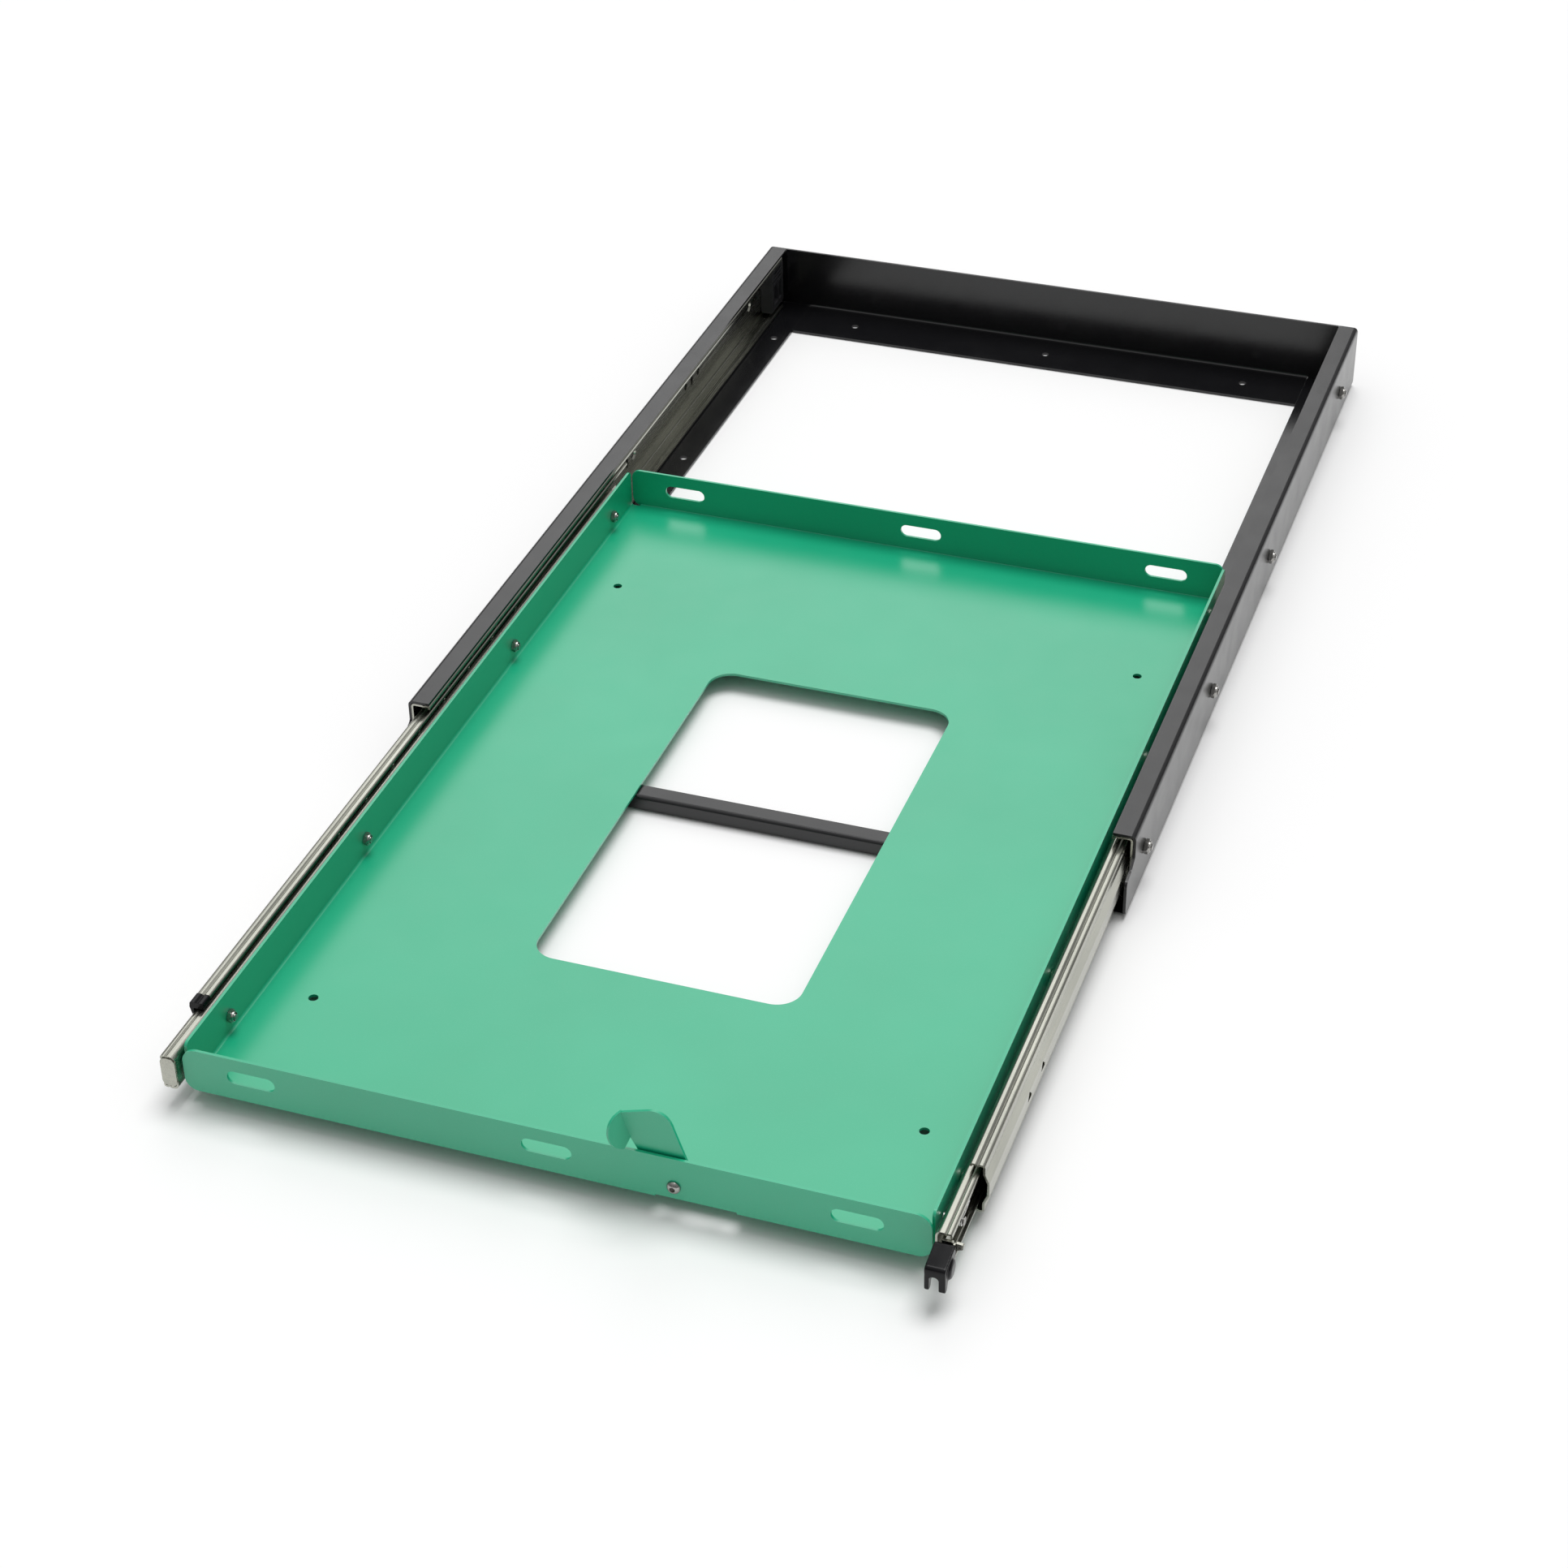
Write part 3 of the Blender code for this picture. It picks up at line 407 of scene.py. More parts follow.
def rolled_zinc(name, dark, light, tint, roughness):
    """Bright zinc on roll-formed steel: long draw lines, cloudy plating and a faint yellow cast."""
    look = Look(name, roughness, 1.0)
    lines = look.noise(700.0, 3.0, 0.6, look.stretched((1.0, 0.012, 1.0)))
    cloud = look.noise(22.0, 4.0, 0.6, look.stretched((1.0, 0.25, 1.0)))
    body = look.between(cloud, dark, light)
    body = look.mixed(look.ranged(lines, 0.35, 0.75, 0.0, 0.35), body, tint)
    grime = look.ranged(look.noise(120.0, 4.0, 0.7), 0.62, 0.78, 0.0, 0.4)
    look.colour(look.mixed(grime, body, tuple(c * 0.55 for c in dark)))
    look.roughness(look.ranged(lines, 0.2, 0.8, roughness - 0.07, roughness + 0.12))
    look.normal(look.bump(lines, 0.10, 0.03))
    return look.material


def machined_steel(name, dark, light, roughness):
    """Turned or stamped fastener steel: fine lines round the part and darker marks."""
    look = Look(name, roughness, 1.0)
    lines = look.noise(2600.0, 2.0, 0.6)
    patches = look.noise(260.0, 4.0, 0.6)
    look.colour(look.between(patches, dark, light))
    look.roughness(look.ranged(lines, 0.2, 0.8, roughness - 0.06, roughness + 0.1))
    look.normal(look.bump(lines, 0.08, 0.02))
    return look.material


def moulded_plastic(name, deep, light, roughness, grain_strength, specular):
    """Moulded plastic: a spark-eroded grain, flow marks and a painted highlight on the edges."""
    look = Look(name, roughness)
    flow = look.noise(60.0, 4.0, 0.6, look.stretched((1.0, 0.3, 1.0)))
    body = look.between(flow, deep, light)
    # Painted highlight: a lighter colour on the sharp edges.
    highlight_colour = tuple(c * 2.2 for c in light)
    look.colour(look.edge_highlighted(0.6, 0.4, body, highlight_colour))
    look.roughness(look.ranged(flow, *NOISE_SPAN, roughness - 0.05, roughness + 0.07))
    look.normal(look.bump(look.noise(1500.0, 2.0), grain_strength, 0.03))
    look.shader.inputs["Specular IOR Level"].default_value = specular
    return look.material


def coat(material, weight, roughness):
    shader = material.node_tree.nodes["Principled BSDF"]
    shader.inputs["Coat Weight"].default_value = weight
    shader.inputs["Coat Roughness"].default_value = roughness


# Each coat's third colour is its speckle and also the painted highlight on its sharp edges.
GREEN = powder_coat("sea_green_powder_coat", (0.001, 0.400, 0.205), (0.003, 0.435, 0.228),
                    (0.06, 0.47, 0.30), 0.33, 1100.0, 0.5, 0.12)
coat(GREEN, 0.8, 0.30)
BLACK = powder_coat("black_powder_coat", (0.003, 0.003, 0.004), (0.006, 0.006, 0.007),
                    (0.035, 0.035, 0.036), 0.22, 1500.0, 0.6, 0.04)
ZINC = rolled_zinc("zinc_plated_steel", (0.34, 0.345, 0.305), (0.48, 0.485, 0.43), (0.60, 0.59, 0.50), 0.22)
STEEL = machined_steel("fastener_steel", (0.26, 0.255, 0.24), (0.48, 0.47, 0.45), 0.20)
BRIGHT = machined_steel("ball_steel", (0.62, 0.62, 0.62), (0.76, 0.76, 0.75), 0.18)
PLASTIC = moulded_plastic("black_moulding", (0.018, 0.018, 0.020), (0.030, 0.030, 0.033), 0.38, 0.18, 0.5)
GRIP_PLASTIC = moulded_plastic("gloss_grip_moulding", (0.002, 0.002, 0.003), (0.005, 0.005, 0.006),
                               0.20, 0.04, 0.22)


def settle(piece, body, nodes, look):
    """Gives a finished piece its material, its body and the CAD nodes it stands for."""
    piece.data.materials.clear()
    piece.data.materials.append(look)
    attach(piece, body)
    if nodes:
        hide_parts(*nodes)
    return piece


def keep_node(node, look):
    """A CAD node whose shape is right stays, with a better material."""
    mesh = frame["nodes"][node].data
    mesh.materials.clear()
    mesh.materials.append(look)


# ---------------------------------------------------------------- frame

TOP_FLANGE = 17.0
BOTTOM_FLANGE = 41.0
TOE_TOP = 34.0
TOE_FOOT = -12.0
TOE_SHOULDER = -9.0
TOE_RISE = 5.0
BASE_HOLE_RADIUS = 3.3
RAIL_BASE_HOLE_X = 250.0
RAIL_BASE_HOLES = (150.0, 500.0, 739.0)
REAR_BASE_HOLE_Y = 784.0
REAR_BASE_HOLES = (-185.0, 0.0, 185.0)
EAR_CORNER = 2.5
EAR_FOOT = 5.0
HOLE_RADIUS = 2.8
STRIKER_SLOT = (106.0, 4.6, 124.0, 7.8)
FRAME_EDGE = 0.35

# Cutters reach from and to these values, past the sheets that they cut.
BELOW, ABOVE = -20.0, 80.0
BASE_CUT = (-5.0, 10.0)
RAIL_CUT = (200.0, 300.0)


def make_rail(word, side):
    """A C section, whose web ends in a toe that reaches forward below the top flange."""
    low, high = box_mm(word + "_side_rail")
    web = side * (max(abs(low.x), abs(high.x)) - SHEET / 2)
    top = high.z - SHEET / 2
    path = (
        (web - side * (TOP_FLANGE - SHEET / 2), top, 0.0),
        (web, top, BEND),
        (web, SHEET / 2, BEND),
        (web - side * (BOTTOM_FLANGE - SHEET / 2), SHEET / 2, 0.0),
    )
    rail = extruded(word + "_rail_sheet", "XZ", [sheet_outline(path, SHEET)], low.y, high.y)
    toe = fillet(
        [
            (low.y - 20.0, BELOW, 0.0),
            (TOE_FOOT, BELOW, 0.0),
            (TOE_FOOT, -0.5, 0.0),
            (low.y, 4.0, 6.0),
            (low.y, TOE_TOP - 3.0, 4.0),
            (TOE_SHOULDER, TOE_TOP, 4.0),
            (0.0, TOE_TOP + TOE_RISE, 3.0),
            (0.0, ABOVE, 0.0),
            (low.y - 20.0, ABOVE, 0.0),
        ]
    )
    across = sorted(side * x for x in RAIL_CUT)
    tools = [extruded("toe", "YZ", [toe], *across)]
    spots = [(y, SLIDE_MIDDLE) for y in screw_spots(word, "rail")]
    tools += drill("YZ", spots, HOLE_RADIUS, *across)
    base_spots = [(side * RAIL_BASE_HOLE_X, y) for y in RAIL_BASE_HOLES]
    tools += drill("XY", base_spots, BASE_HOLE_RADIUS, *BASE_CUT)
    rail = softened(combine(rail, tools, "DIFFERENCE"), FRAME_EDGE)
    settle(rail, "frame", [word + "_side_rail"], BLACK)


def make_rear_panel():
    """The floor flange and wall between the rails, with ears that close the rails' ends."""
    low, high = box_mm("rear_panel")
    under = high.x
    rail_low, rail_high = box_mm("right_side_rail")
    between = rail_high.x - TOP_FLANGE - GAP
    floor_half = rail_low.x - GAP
    path = (
        (high.y - SHEET / 2, high.z, 0.0),
        (high.y - SHEET / 2, SHEET / 2, BEND),
        (low.y, SHEET / 2, 0.0),
    )
    panel = extruded("rear_panel_sheet", "YZ", [sheet_outline(path, SHEET)], -floor_half, floor_half)
    top = high.z - SHEET - GAP
    seat = SHEET + GAP
    half = [(between, high.z, 0.0), (between, top, 0.0), (under, top, EAR_CORNER), (under, seat, EAR_CORNER),
            (floor_half, seat, 0.0), (floor_half, EAR_FOOT, 0.0)]
    ears = fillet(half + [(-x, z, radius) for x, z, radius in reversed(half)])
    panel = combine(panel, [extruded("ears", "XZ", [ears], high.y - SHEET, high.y)], "UNION")
    holes = drill("XY", [(x, REAR_BASE_HOLE_Y) for x in REAR_BASE_HOLES], BASE_HOLE_RADIUS, *BASE_CUT)
    panel = softened(combine(panel, holes, "DIFFERENCE"), FRAME_EDGE)
    settle(panel, "frame", ["rear_panel"], BLACK)


CROSS_BEND = 2.0
CROSS_MARGIN = 5.0


def make_cross_member():
    """A channel open to the rear. Its ends stand on the rails' floor flanges."""
    low, high = box_mm("front_cross_member")
    floor_half = box_mm("right_side_rail")[0].x - GAP
    path = (
        (high.y, SHEET / 2, 0.0),
        (low.y + SHEET / 2, SHEET / 2, CROSS_BEND),
        (low.y + SHEET / 2, high.z - SHEET / 2, CROSS_BEND),
        (high.y, high.z - SHEET / 2, 0.0),
    )
    member = extruded("front_cross_member_sheet", "YZ", [sheet_outline(path, SHEET)], low.x, high.x)
    front, rear = low.y - CROSS_MARGIN, high.y + CROSS_MARGIN
    step = SHEET + GAP
    foot = [(front, -CROSS_MARGIN), (rear, -CROSS_MARGIN), (rear, step), (front, step)]
    tools = [
        extruded("foot", "YZ", [foot], floor_half, high.x + CROSS_MARGIN),
        extruded("foot", "YZ", [foot], low.x - CROSS_MARGIN, -floor_half),
        extruded("striker", "XY", [rounded_box(*STRIKER_SLOT, 1.0)], 5.0, 20.0),
    ]
    member = softened(combine(member, tools, "DIFFERENCE"), 0.3)
    settle(member, "frame", ["front_cross_member"], BLACK)


STOP_POCKETS = ((5.0, 15.5), (17.5, 25.0))
STOP_POCKET_HEIGHTS = (14.0, 33.0)
STOP_POCKET_DEPTH = 5.0
STOP_GROOVE = (5.0, 25.0)
STOP_GROOVE_HEIGHTS = (36.0, 40.0, 44.0)
STOP_GROOVE_WIDTH = 2.2
STOP_GROOVE_DEPTH = 1.6


def make_rear_stop(word, side):
    """A moulded stop block, with two open pockets and three grooves in its face towards the tray."""
    low, high = box_mm(word + "_rear_stop")
    outline = rounded_box(low.x, low.z, high.x, high.z, 2.5)
    stop = extruded(word + "_stop_block", "XZ", [outline], low.y, high.y)
    inner = high.x if side < 0 else low.x
    reach = sorted((inner - side, inner + side * STOP_POCKET_DEPTH))
    bottom, top = STOP_POCKET_HEIGHTS
    tools = []
    for front, rear in STOP_POCKETS:
        pocket = rounded_box(low.y + front, bottom, low.y + rear, top, 2.0)
        tools.append(extruded("pocket", "YZ", [pocket], *reach))
    shallow = sorted((inner - side, inner + side * STOP_GROOVE_DEPTH))
    front, rear = STOP_GROOVE
    for z in STOP_GROOVE_HEIGHTS:
        groove = rounded_box(low.y + front, z, low.y + rear, z + STOP_GROOVE_WIDTH, 0.8)
        tools.append(extruded("groove", "YZ", [groove], *shallow))
    stop = softened(combine(stop, tools, "DIFFERENCE"), 0.4)
    settle(stop, "frame", [word + "_rear_stop"], PLASTIC)


# ---------------------------------------------------------------- slides

# A section's points are (distance from the rail's web, height above the slide's middle, radius).
OUTER_SHEET = 1.5
MEMBER_SHEET = 1.4
OUTER_HALF_PATH = (
    (15.0, 23.3, 0.0),
    (15.0, 25.45, 0.9),
    (12.2, 25.40, 1.0),
    (10.6, 24.95, 1.0),
    (9.0, 25.35, 1.0),
    (1.05, 25.45, 2.0),
)
INTERMEDIATE_HALF_PATH = (
    (14.6, 17.0, 0.0),
    (14.6, 18.8, 1.0),
    (11.9, 18.8, 0.8),
    (10.3, 17.8, 0.8),
    (8.7, 18.7, 0.8),
    (5.8, 18.6, 1.4),
    (5.8, 11.8, 1.0),
    (2.9, 4.9, 1.5),
)
INNER_HALF_PATH = (
    (9.2, 10.2, 0.0),
    (9.2, 12.6, 1.0),
    (11.2, 12.7, 0.9),
    (12.4, 12.0, 0.9),
    (13.6, 12.8, 0.9),
    (18.7, 12.8, 3.0),
)
OUTER_HOLES = (728.0, 758.0, 608.0, 577.0)
OUTER_HOLE_RADIUS = 3.2
OUTER_SLOTS = (592.0, 434.0)
OUTER_SLOT_HALVES = (2.6, 5.5)
LANCES = (-226.0, -258.0)
PAD_RADIUS = 7.0
RIVET_HOLE_RADIUS = 2.3
SLIDE_EDGE = 0.2
FRONT_TAB = (8.4, -10.5, 19.2, 12.0)
FRONT_TAB_THICKNESS = 1.0
BUMPER_RELIEF = (7.5, -20.0, 22.0, 14.6)


def web_x(side, distance):
    web = box_mm("right_side_rail")[1].x - SHEET
    return side * (web - distance)


def in_slide(side, outline):
    """An outline in the slide's own values, placed in the frame."""
    return [Vector((web_x(side, p.x), SLIDE_MIDDLE + p.y)) for p in outline]


def section(side, half_path, thickness):
    return in_slide(side, sheet_outline(mirrored_path(half_path), thickness, 4))


def make_outer_member(word, side):
    node = word + "_outer_member"
    low, high = box_mm(node)
    outline = section(side, OUTER_HALF_PATH, OUTER_SHEET)
    member = extruded(word + "_outer_rail", "XZ", [outline], low.y, high.y)
    reach = sorted((web_x(side, -1.0), web_x(side, 4.0)))
    tools = drill("YZ", [(y, SLIDE_MIDDLE) for y in OUTER_HOLES], OUTER_HOLE_RADIUS, *reach)
    half_length, half_height = OUTER_SLOT_HALVES
    for y in OUTER_SLOTS:
        slot = rounded_box(y - half_length, SLIDE_MIDDLE - half_height,
                           y + half_length, SLIDE_MIDDLE + half_height, 2.5)
        tools.append(extruded("slot", "YZ", [slot], *reach))
    sink = [(0, 3), (6.2, 3), (6.2, 1.2), (3.2, -1.8), (3.2, -3), (0, -3)]
    for y in screw_spots(word, "rail"):
        tools.append(turned("sink", sink, (web_x(side, 1.0), y, SLIDE_MIDDLE), (-side, 0, 0)))
    member = softened(combine(member, tools, "DIFFERENCE"), SLIDE_EDGE)
    settle(member, "frame", [node], ZINC)


def make_intermediate(word, side):
    node = word + "_intermediate_member"
    low, high = box_mm(node)
    outline = section(side, INTERMEDIATE_HALF_PATH, MEMBER_SHEET)
    member = extruded(word + "_intermediate_rail", "XZ", [outline], low.y, high.y)
    reach = sorted((web_x(side, -1.0), web_x(side, 5.0)))
    tools = []
    for y in LANCES:
        lance = fillet([(y - 5.0, 27.0, 0.6), (y + 5.0, 27.0, 0.6), (y - 2.0, 34.0, 0.8)])
        tools.append(extruded("lance", "YZ", [lance], *reach))
    member = softened(combine(member, tools, "DIFFERENCE"), SLIDE_EDGE)
    settle(member, word + "_intermediate", [node], ZINC)


def make_bumper():
    """The moulded end on the left intermediate member, open below for the inner member."""
    node = "left_front_bumper"
    low, high = box_mm(node)
    side = -1.0
    profile = fillet(
        [(14.9, 8.0, 1.0), (15.3, 19.6, 1.5), (12.1, 19.6, 0.8), (10.3, 18.5, 0.8), (8.5, 19.6, 0.8),
         (5.2, 19.6, 1.8), (4.6, 15.0, 2.0), (6.5, 8.0, 2.0)]
    )
    bumper = extruded("left_bumper_moulding", "XZ", [in_slide(side, profile)], low.y, high.y)
    relief = in_slide(side, rounded_box(*BUMPER_RELIEF, 1.0))
    bumper = combine(bumper, [extruded("relief", "XZ", [relief], low.y - 10.0, high.y + 5.0)], "DIFFERENCE")
    bumper = softened(bumper, 0.9, 3)
    settle(bumper, "left_intermediate", [node], GRIP_PLASTIC)


def make_inner_member(word, side):
    """The member on the tray. The left one's front end is closed by a tab."""
    node = word + "_inner_member"
    low, high = box_mm(node)
    spots = [(y, SLIDE_MIDDLE) for y in screw_spots(word, "tray")]
    front = low.y + (FRONT_TAB_THICKNESS if side < 0 else 0.0)
    outline = section(side, INNER_HALF_PATH, MEMBER_SHEET)
    member = extruded(word + "_inner_rail", "XZ", [outline], front, high.y)
    pad = [(0, 2.3), (PAD_RADIUS - 1.0, 2.3), (PAD_RADIUS - 0.4, 1.6), (PAD_RADIUS, -0.6), (0, -0.6)]
    extras = [turned("pad", pad, (web_x(side, 19.4), y, z), (-side, 0, 0)) for y, z in spots]
    if side < 0:
        tab = in_slide(side, rounded_box(*FRONT_TAB, 4.0))
        extras.append(extruded("tab", "XZ", [tab], low.y, front + 0.6))
    member = combine(member, extras, "UNION")
    reach = sorted((web_x(side, 16.0), web_x(side, 23.0)))
    tools = drill("YZ", spots, HOLE_RADIUS, *reach)
    if side > 0:
        pivot = middle_mm("lock_lever_rivet")
        tools += drill("YZ", [(pivot.y, pivot.z)], RIVET_HOLE_RADIUS, *reach)
    member = softened(combine(member, tools, "DIFFERENCE"), SLIDE_EDGE)
    settle(member, "tray", [node], ZINC)


# ---------------------------------------------------------------- fasteners


RAIL_NUT_ACROSS = 10.0
TRAY_NUT_ACROSS = 8.6
NUT_THICKNESS = 4.2
THREAD_RADIUS = 2.3
THREAD_DEPTH = 0.18
THREAD_PITCH = 0.8


def nut_shape(across, thickness):
    """A lock nut standing on z = 0: chamfered hexagon, rolled collar and a nylon ring's seat."""
    corner = across / math.sqrt(3)
    prism = extruded("nut", "XY", [circle(0, 0, corner, 6, math.pi / 6)], 0.0, thickness * 0.68)
    dome = turned("dome", [(0, thickness * 0.68 + 0.01), (corner * 0.9, thickness * 0.68 + 0.01),
                           (corner * 1.02, thickness * 0.5), (corner * 1.02, 0.6), (corner * 0.93, -0.01),
                           (0, -0.01)], (0, 0, 0), (0, 0, 1), 48)
    prism = combine(prism, [dome], "INTERSECT")
    rim = across * 0.44
    collar = turned("collar", [(0, thickness), (rim * 0.8, thickness), (rim * 0.95, thickness * 0.94),
                               (rim, thickness * 0.82), (rim, thickness * 0.6), (0, thickness * 0.6)],
                    (0, 0, 0), (0, 0, 1), 48)
    prism = combine(prism, [collar], "UNION")
    bore = turned("bore", [(0, thickness + 1), (2.95, thickness + 1), (2.95, thickness * 0.7),
                           (2.6, thickness * 0.7), (2.6, -1), (0, -1)], (0, 0, 0), (0, 0, 1), 32)
    return softened(combine(prism, [bore], "DIFFERENCE"), 0.12)


def threaded(length):
    """The profile of a shank with ring grooves that stand for a thread, from its top down."""
    chamfer = THREAD_DEPTH * 1.5
    points = [(0, 0), (THREAD_RADIUS - chamfer, 0), (THREAD_RADIUS, -chamfer)]
    height = -chamfer
    while height - THREAD_PITCH > -length:
        points += [(THREAD_RADIUS - THREAD_DEPTH, height - THREAD_PITCH * 0.5),
                   (THREAD_RADIUS, height - THREAD_PITCH)]
        height -= THREAD_PITCH
    return points + [(THREAD_RADIUS, -length), (0, -length)]


RECESS_PAST = 1.0
CROSS_HALVES = (2.0, 0.45)
CROSS_DEPTH = 0.9
SOCKET_RADIUS = 1.6
SOCKET_DEPTH = 1.4


def cross_recess(y, z, head, into):
    """The two crossed slots of a countersunk head's drive, from the head's face into it."""
    reach = sorted((head - into * RECESS_PAST, head + into * CROSS_DEPTH))
    long, short = CROSS_HALVES
    slots = [rounded_box(y - a, z - b, y + a, z + b, 0.2) for a, b in ((long, short), (short, long))]
    return [extruded("cross", "YZ", [slot], *reach) for slot in slots]


def socket_recess(y, z, head, into):
    """The hexagon socket of a button head, from the head's face into it."""
    reach = sorted((head - into * RECESS_PAST, head + into * SOCKET_DEPTH))
    return [extruded("socket", "YZ", [circle(y, z, SOCKET_RADIUS, 6)], *reach)]


# For each kind of screw: its body, its shank's length, its head's profile and its drive.
SCREW_KINDS = {
    "rail": (
        "frame", 8.0,
        ((0, 0), (4.1, 0), (4.4, -0.15), (4.4, -0.35), (2.3, -1.7), (2.3, -4.0), (0, -4.0)),
        cross_recess,
    ),
    "tray": (
        "tray", 12.0,
        ((0, 0), (2.4, 0), (3.6, -0.4), (4.5, -1.6), (4.6, -2.7), (2.0, -2.7), (2.0, -4.0), (0, -4.0)),
        socket_recess,
    ),
}


def make_fasteners(word, kind, toward_nut, pattern):
    """One side's nuts and screws of one kind. toward_nut is 1 where the nuts are on the +X side."""
    body, length, head_profile, recess = SCREW_KINDS[kind]
    for number in range(1, SCREWS_A_SIDE + 1):
        nut_node, screw_node = f"{word}_{kind}_nut_{number}", f"{word}_{kind}_screw_{number}"
        low, high = box_mm(nut_node)
        y, z = middle_mm(nut_node).yz
        face = low.x if toward_nut > 0 else high.x
        place = placed((face, y, z), (toward_nut, 0, 0))
        nut = copy_of(pattern, f"{word}_{kind}_lock_nut_{number}", place)
        settle(nut, body, [nut_node], STEEL)
        low, high = box_mm(screw_node)
        tip, head = (high.x, low.x) if toward_nut > 0 else (low.x, high.x)
        shank = turned(f"{word}_{kind}_bolt_{number}", threaded(length), (tip, y, z), (toward_nut, 0, 0), 24)
        cap = turned("cap", head_profile, (head, y, z), (-toward_nut, 0, 0), 32)
        cap = combine(cap, recess(y, z, head, toward_nut), "DIFFERENCE")
        bolt = combine(shank, [cap], "UNION")
        smooth(bolt, 40.0)
        settle(bolt, body, [screw_node], STEEL)


# ---------------------------------------------------------------- tray

STRAP_SLOTS = (-206.5, 1.0, 207.5)
STRAP_SLOT_SIZE = (34.5, 10.5)
STRAP_SLOT_HEIGHT = 32.5
WINDOW = (-97.0, -207.0, 97.0, 169.0)
WINDOW_CORNER = 18.0
FLOOR_HOLES = ((-217.0, -297.5), (217.0, -297.5), (-217.0, 262.0), (217.0, 262.0))
FLOOR_HOLE_RADIUS = 3.5
LATCH_SLOT = (74.0, 128.5)
WALL_INSET = (5.0, 4.5)
FLANGE_BEND = 1.4
FLANGE_STEP = 0.4
FLANGE_FOOT = 9.0
FLANGE_CORNERS = (11.0, 7.0)
FLANGE_SIDE = 0.4
REAR_FLANGE_INSET = 1.6
FOLD_REACH = 247.0
FOLD_FLOOR = 15.0
FOLD_TOP = 30.0
WALL_CORNER = 4.0
WALL_CUT = (248.0, 262.0)
FLOOR_CUT = (5.0, 25.0)
ACROSS = (-300.0, 300.0)
GREEN_EDGE = 0.3


def flange_piece(y0, y1, half, low, top, corner):
    outline = fillet(
        [(-half, low, FLANGE_FOOT), (half, low, FLANGE_FOOT), (half, top, corner), (-half, top, corner)], 8
    )
    return extruded("flange", "XZ", [outline], y0, y1)


def fold_piece(outer, inward, bottom):
    """The fold that joins a front or rear flange to the floor."""
    face = outer + inward * SHEET / 2
    path = (
        (face, FOLD_TOP, 0.0),
        (face, bottom + SHEET / 2, FLANGE_BEND),
        (outer + inward * FOLD_FLOOR, bottom + SHEET / 2, 0.0),
    )
    return extruded("fold", "YZ", [sheet_outline(path, SHEET)], -FOLD_REACH, FOLD_REACH)


def wall_trim(end, inward, top):
    """The cutter that rounds a side wall's upper corner."""
    past = inward * 2.0
    shoulder = end + inward * (WALL_CORNER + 2.0)
    outline = fillet(
        [(end - past, top - WALL_CORNER, 0.0), (end, top - WALL_CORNER, 0.0), (end, top, WALL_CORNER * 0.99),
         (shoulder, top, 0.0), (shoulder, top + 2.0, 0.0), (end - past, top + 2.0, 0.0)]
    )
    return extruded("trim", "YZ", [outline], *ACROSS)


def strap_slot(x, y):
    length, height = STRAP_SLOT_SIZE
    outline = rounded_box(x - length / 2, STRAP_SLOT_HEIGHT - height / 2, x + length / 2,
                          STRAP_SLOT_HEIGHT + height / 2, height / 2 - 0.1, 10)
    return extruded("strap_slot", "XZ", [outline], y - 6.0, y + 6.0)


def make_tray():
    """One sheet with four folded walls, a window, strap slots and the latch's slot in the front fold."""
    low, high = box_mm("tray_pan")
    wall = high.x - SHEET / 2
    path = (
        (-wall, high.z, 0.0),
        (-wall, low.z + SHEET / 2, BEND),
        (wall, low.z + SHEET / 2, BEND),
        (wall, high.z, 0.0),
    )
    wall_front, wall_rear = low.y + WALL_INSET[0], high.y - WALL_INSET[1]
    pan = extruded("tray_sheet", "XZ", [sheet_outline(path, SHEET)], wall_front, wall_rear)
    trims = [wall_trim(wall_front, 1.0, high.z), wall_trim(wall_rear, -1.0, high.z)]
    pan = combine(pan, trims, "DIFFERENCE")
    pan = combine(pan, [fold_piece(low.y, 1.0, low.z), fold_piece(high.y, -1.0, low.z)], "UNION")
    half, foot = high.x - FLANGE_SIDE, low.z + FLANGE_STEP
    front_corner, rear_corner = FLANGE_CORNERS
    flanges = [flange_piece(low.y, low.y + SHEET, half, foot, high.z, front_corner),
               flange_piece(high.y - SHEET, high.y, half - REAR_FLANGE_INSET, foot, high.z, rear_corner)]
    pan = combine(pan, flanges, "UNION")
    left, right = LATCH_SLOT
    slot = rounded_box(left, low.y + SHEET, right, low.y + 9.0, 0.8)
    notch = rounded_box(left, low.y - 3.0, right, low.y + 4.0, 0.8)
    tools = [
        extruded("window", "XY", [rounded_box(*WINDOW, WINDOW_CORNER, 12)], *FLOOR_CUT),
        extruded("latch_slot", "XY", [slot], FLOOR_CUT[0], low.z + 4.3),
    ]
    tools += drill("XY", FLOOR_HOLES, FLOOR_HOLE_RADIUS, *FLOOR_CUT)
    pivot = middle_mm("latch_pivot_screw")
    tools += drill("XZ", [(pivot.x, pivot.z)], HOLE_RADIUS, low.y - 3.0, low.y + 5.0)
    for word, side in SIDES:
        spots = [(y, SLIDE_MIDDLE) for y in screw_spots(word, "tray")]
        tools += drill("YZ", spots, HOLE_RADIUS, *sorted(side * x for x in WALL_CUT))
    tools += [strap_slot(x, y) for x in STRAP_SLOTS for y in (low.y, high.y)]
    pan = combine(pan, tools, "DIFFERENCE")
    # The notch overlaps the slot, so it has a Boolean of its own.
    notch = extruded("latch_notch", "XY", [notch], FLOOR_CUT[0], low.z + 1.7)
    pan = softened(combine(pan, [notch], "DIFFERENCE"), GREEN_EDGE)
    settle(pan, "tray", ["tray_pan"], GREEN)


# ---------------------------------------------------------------- latch

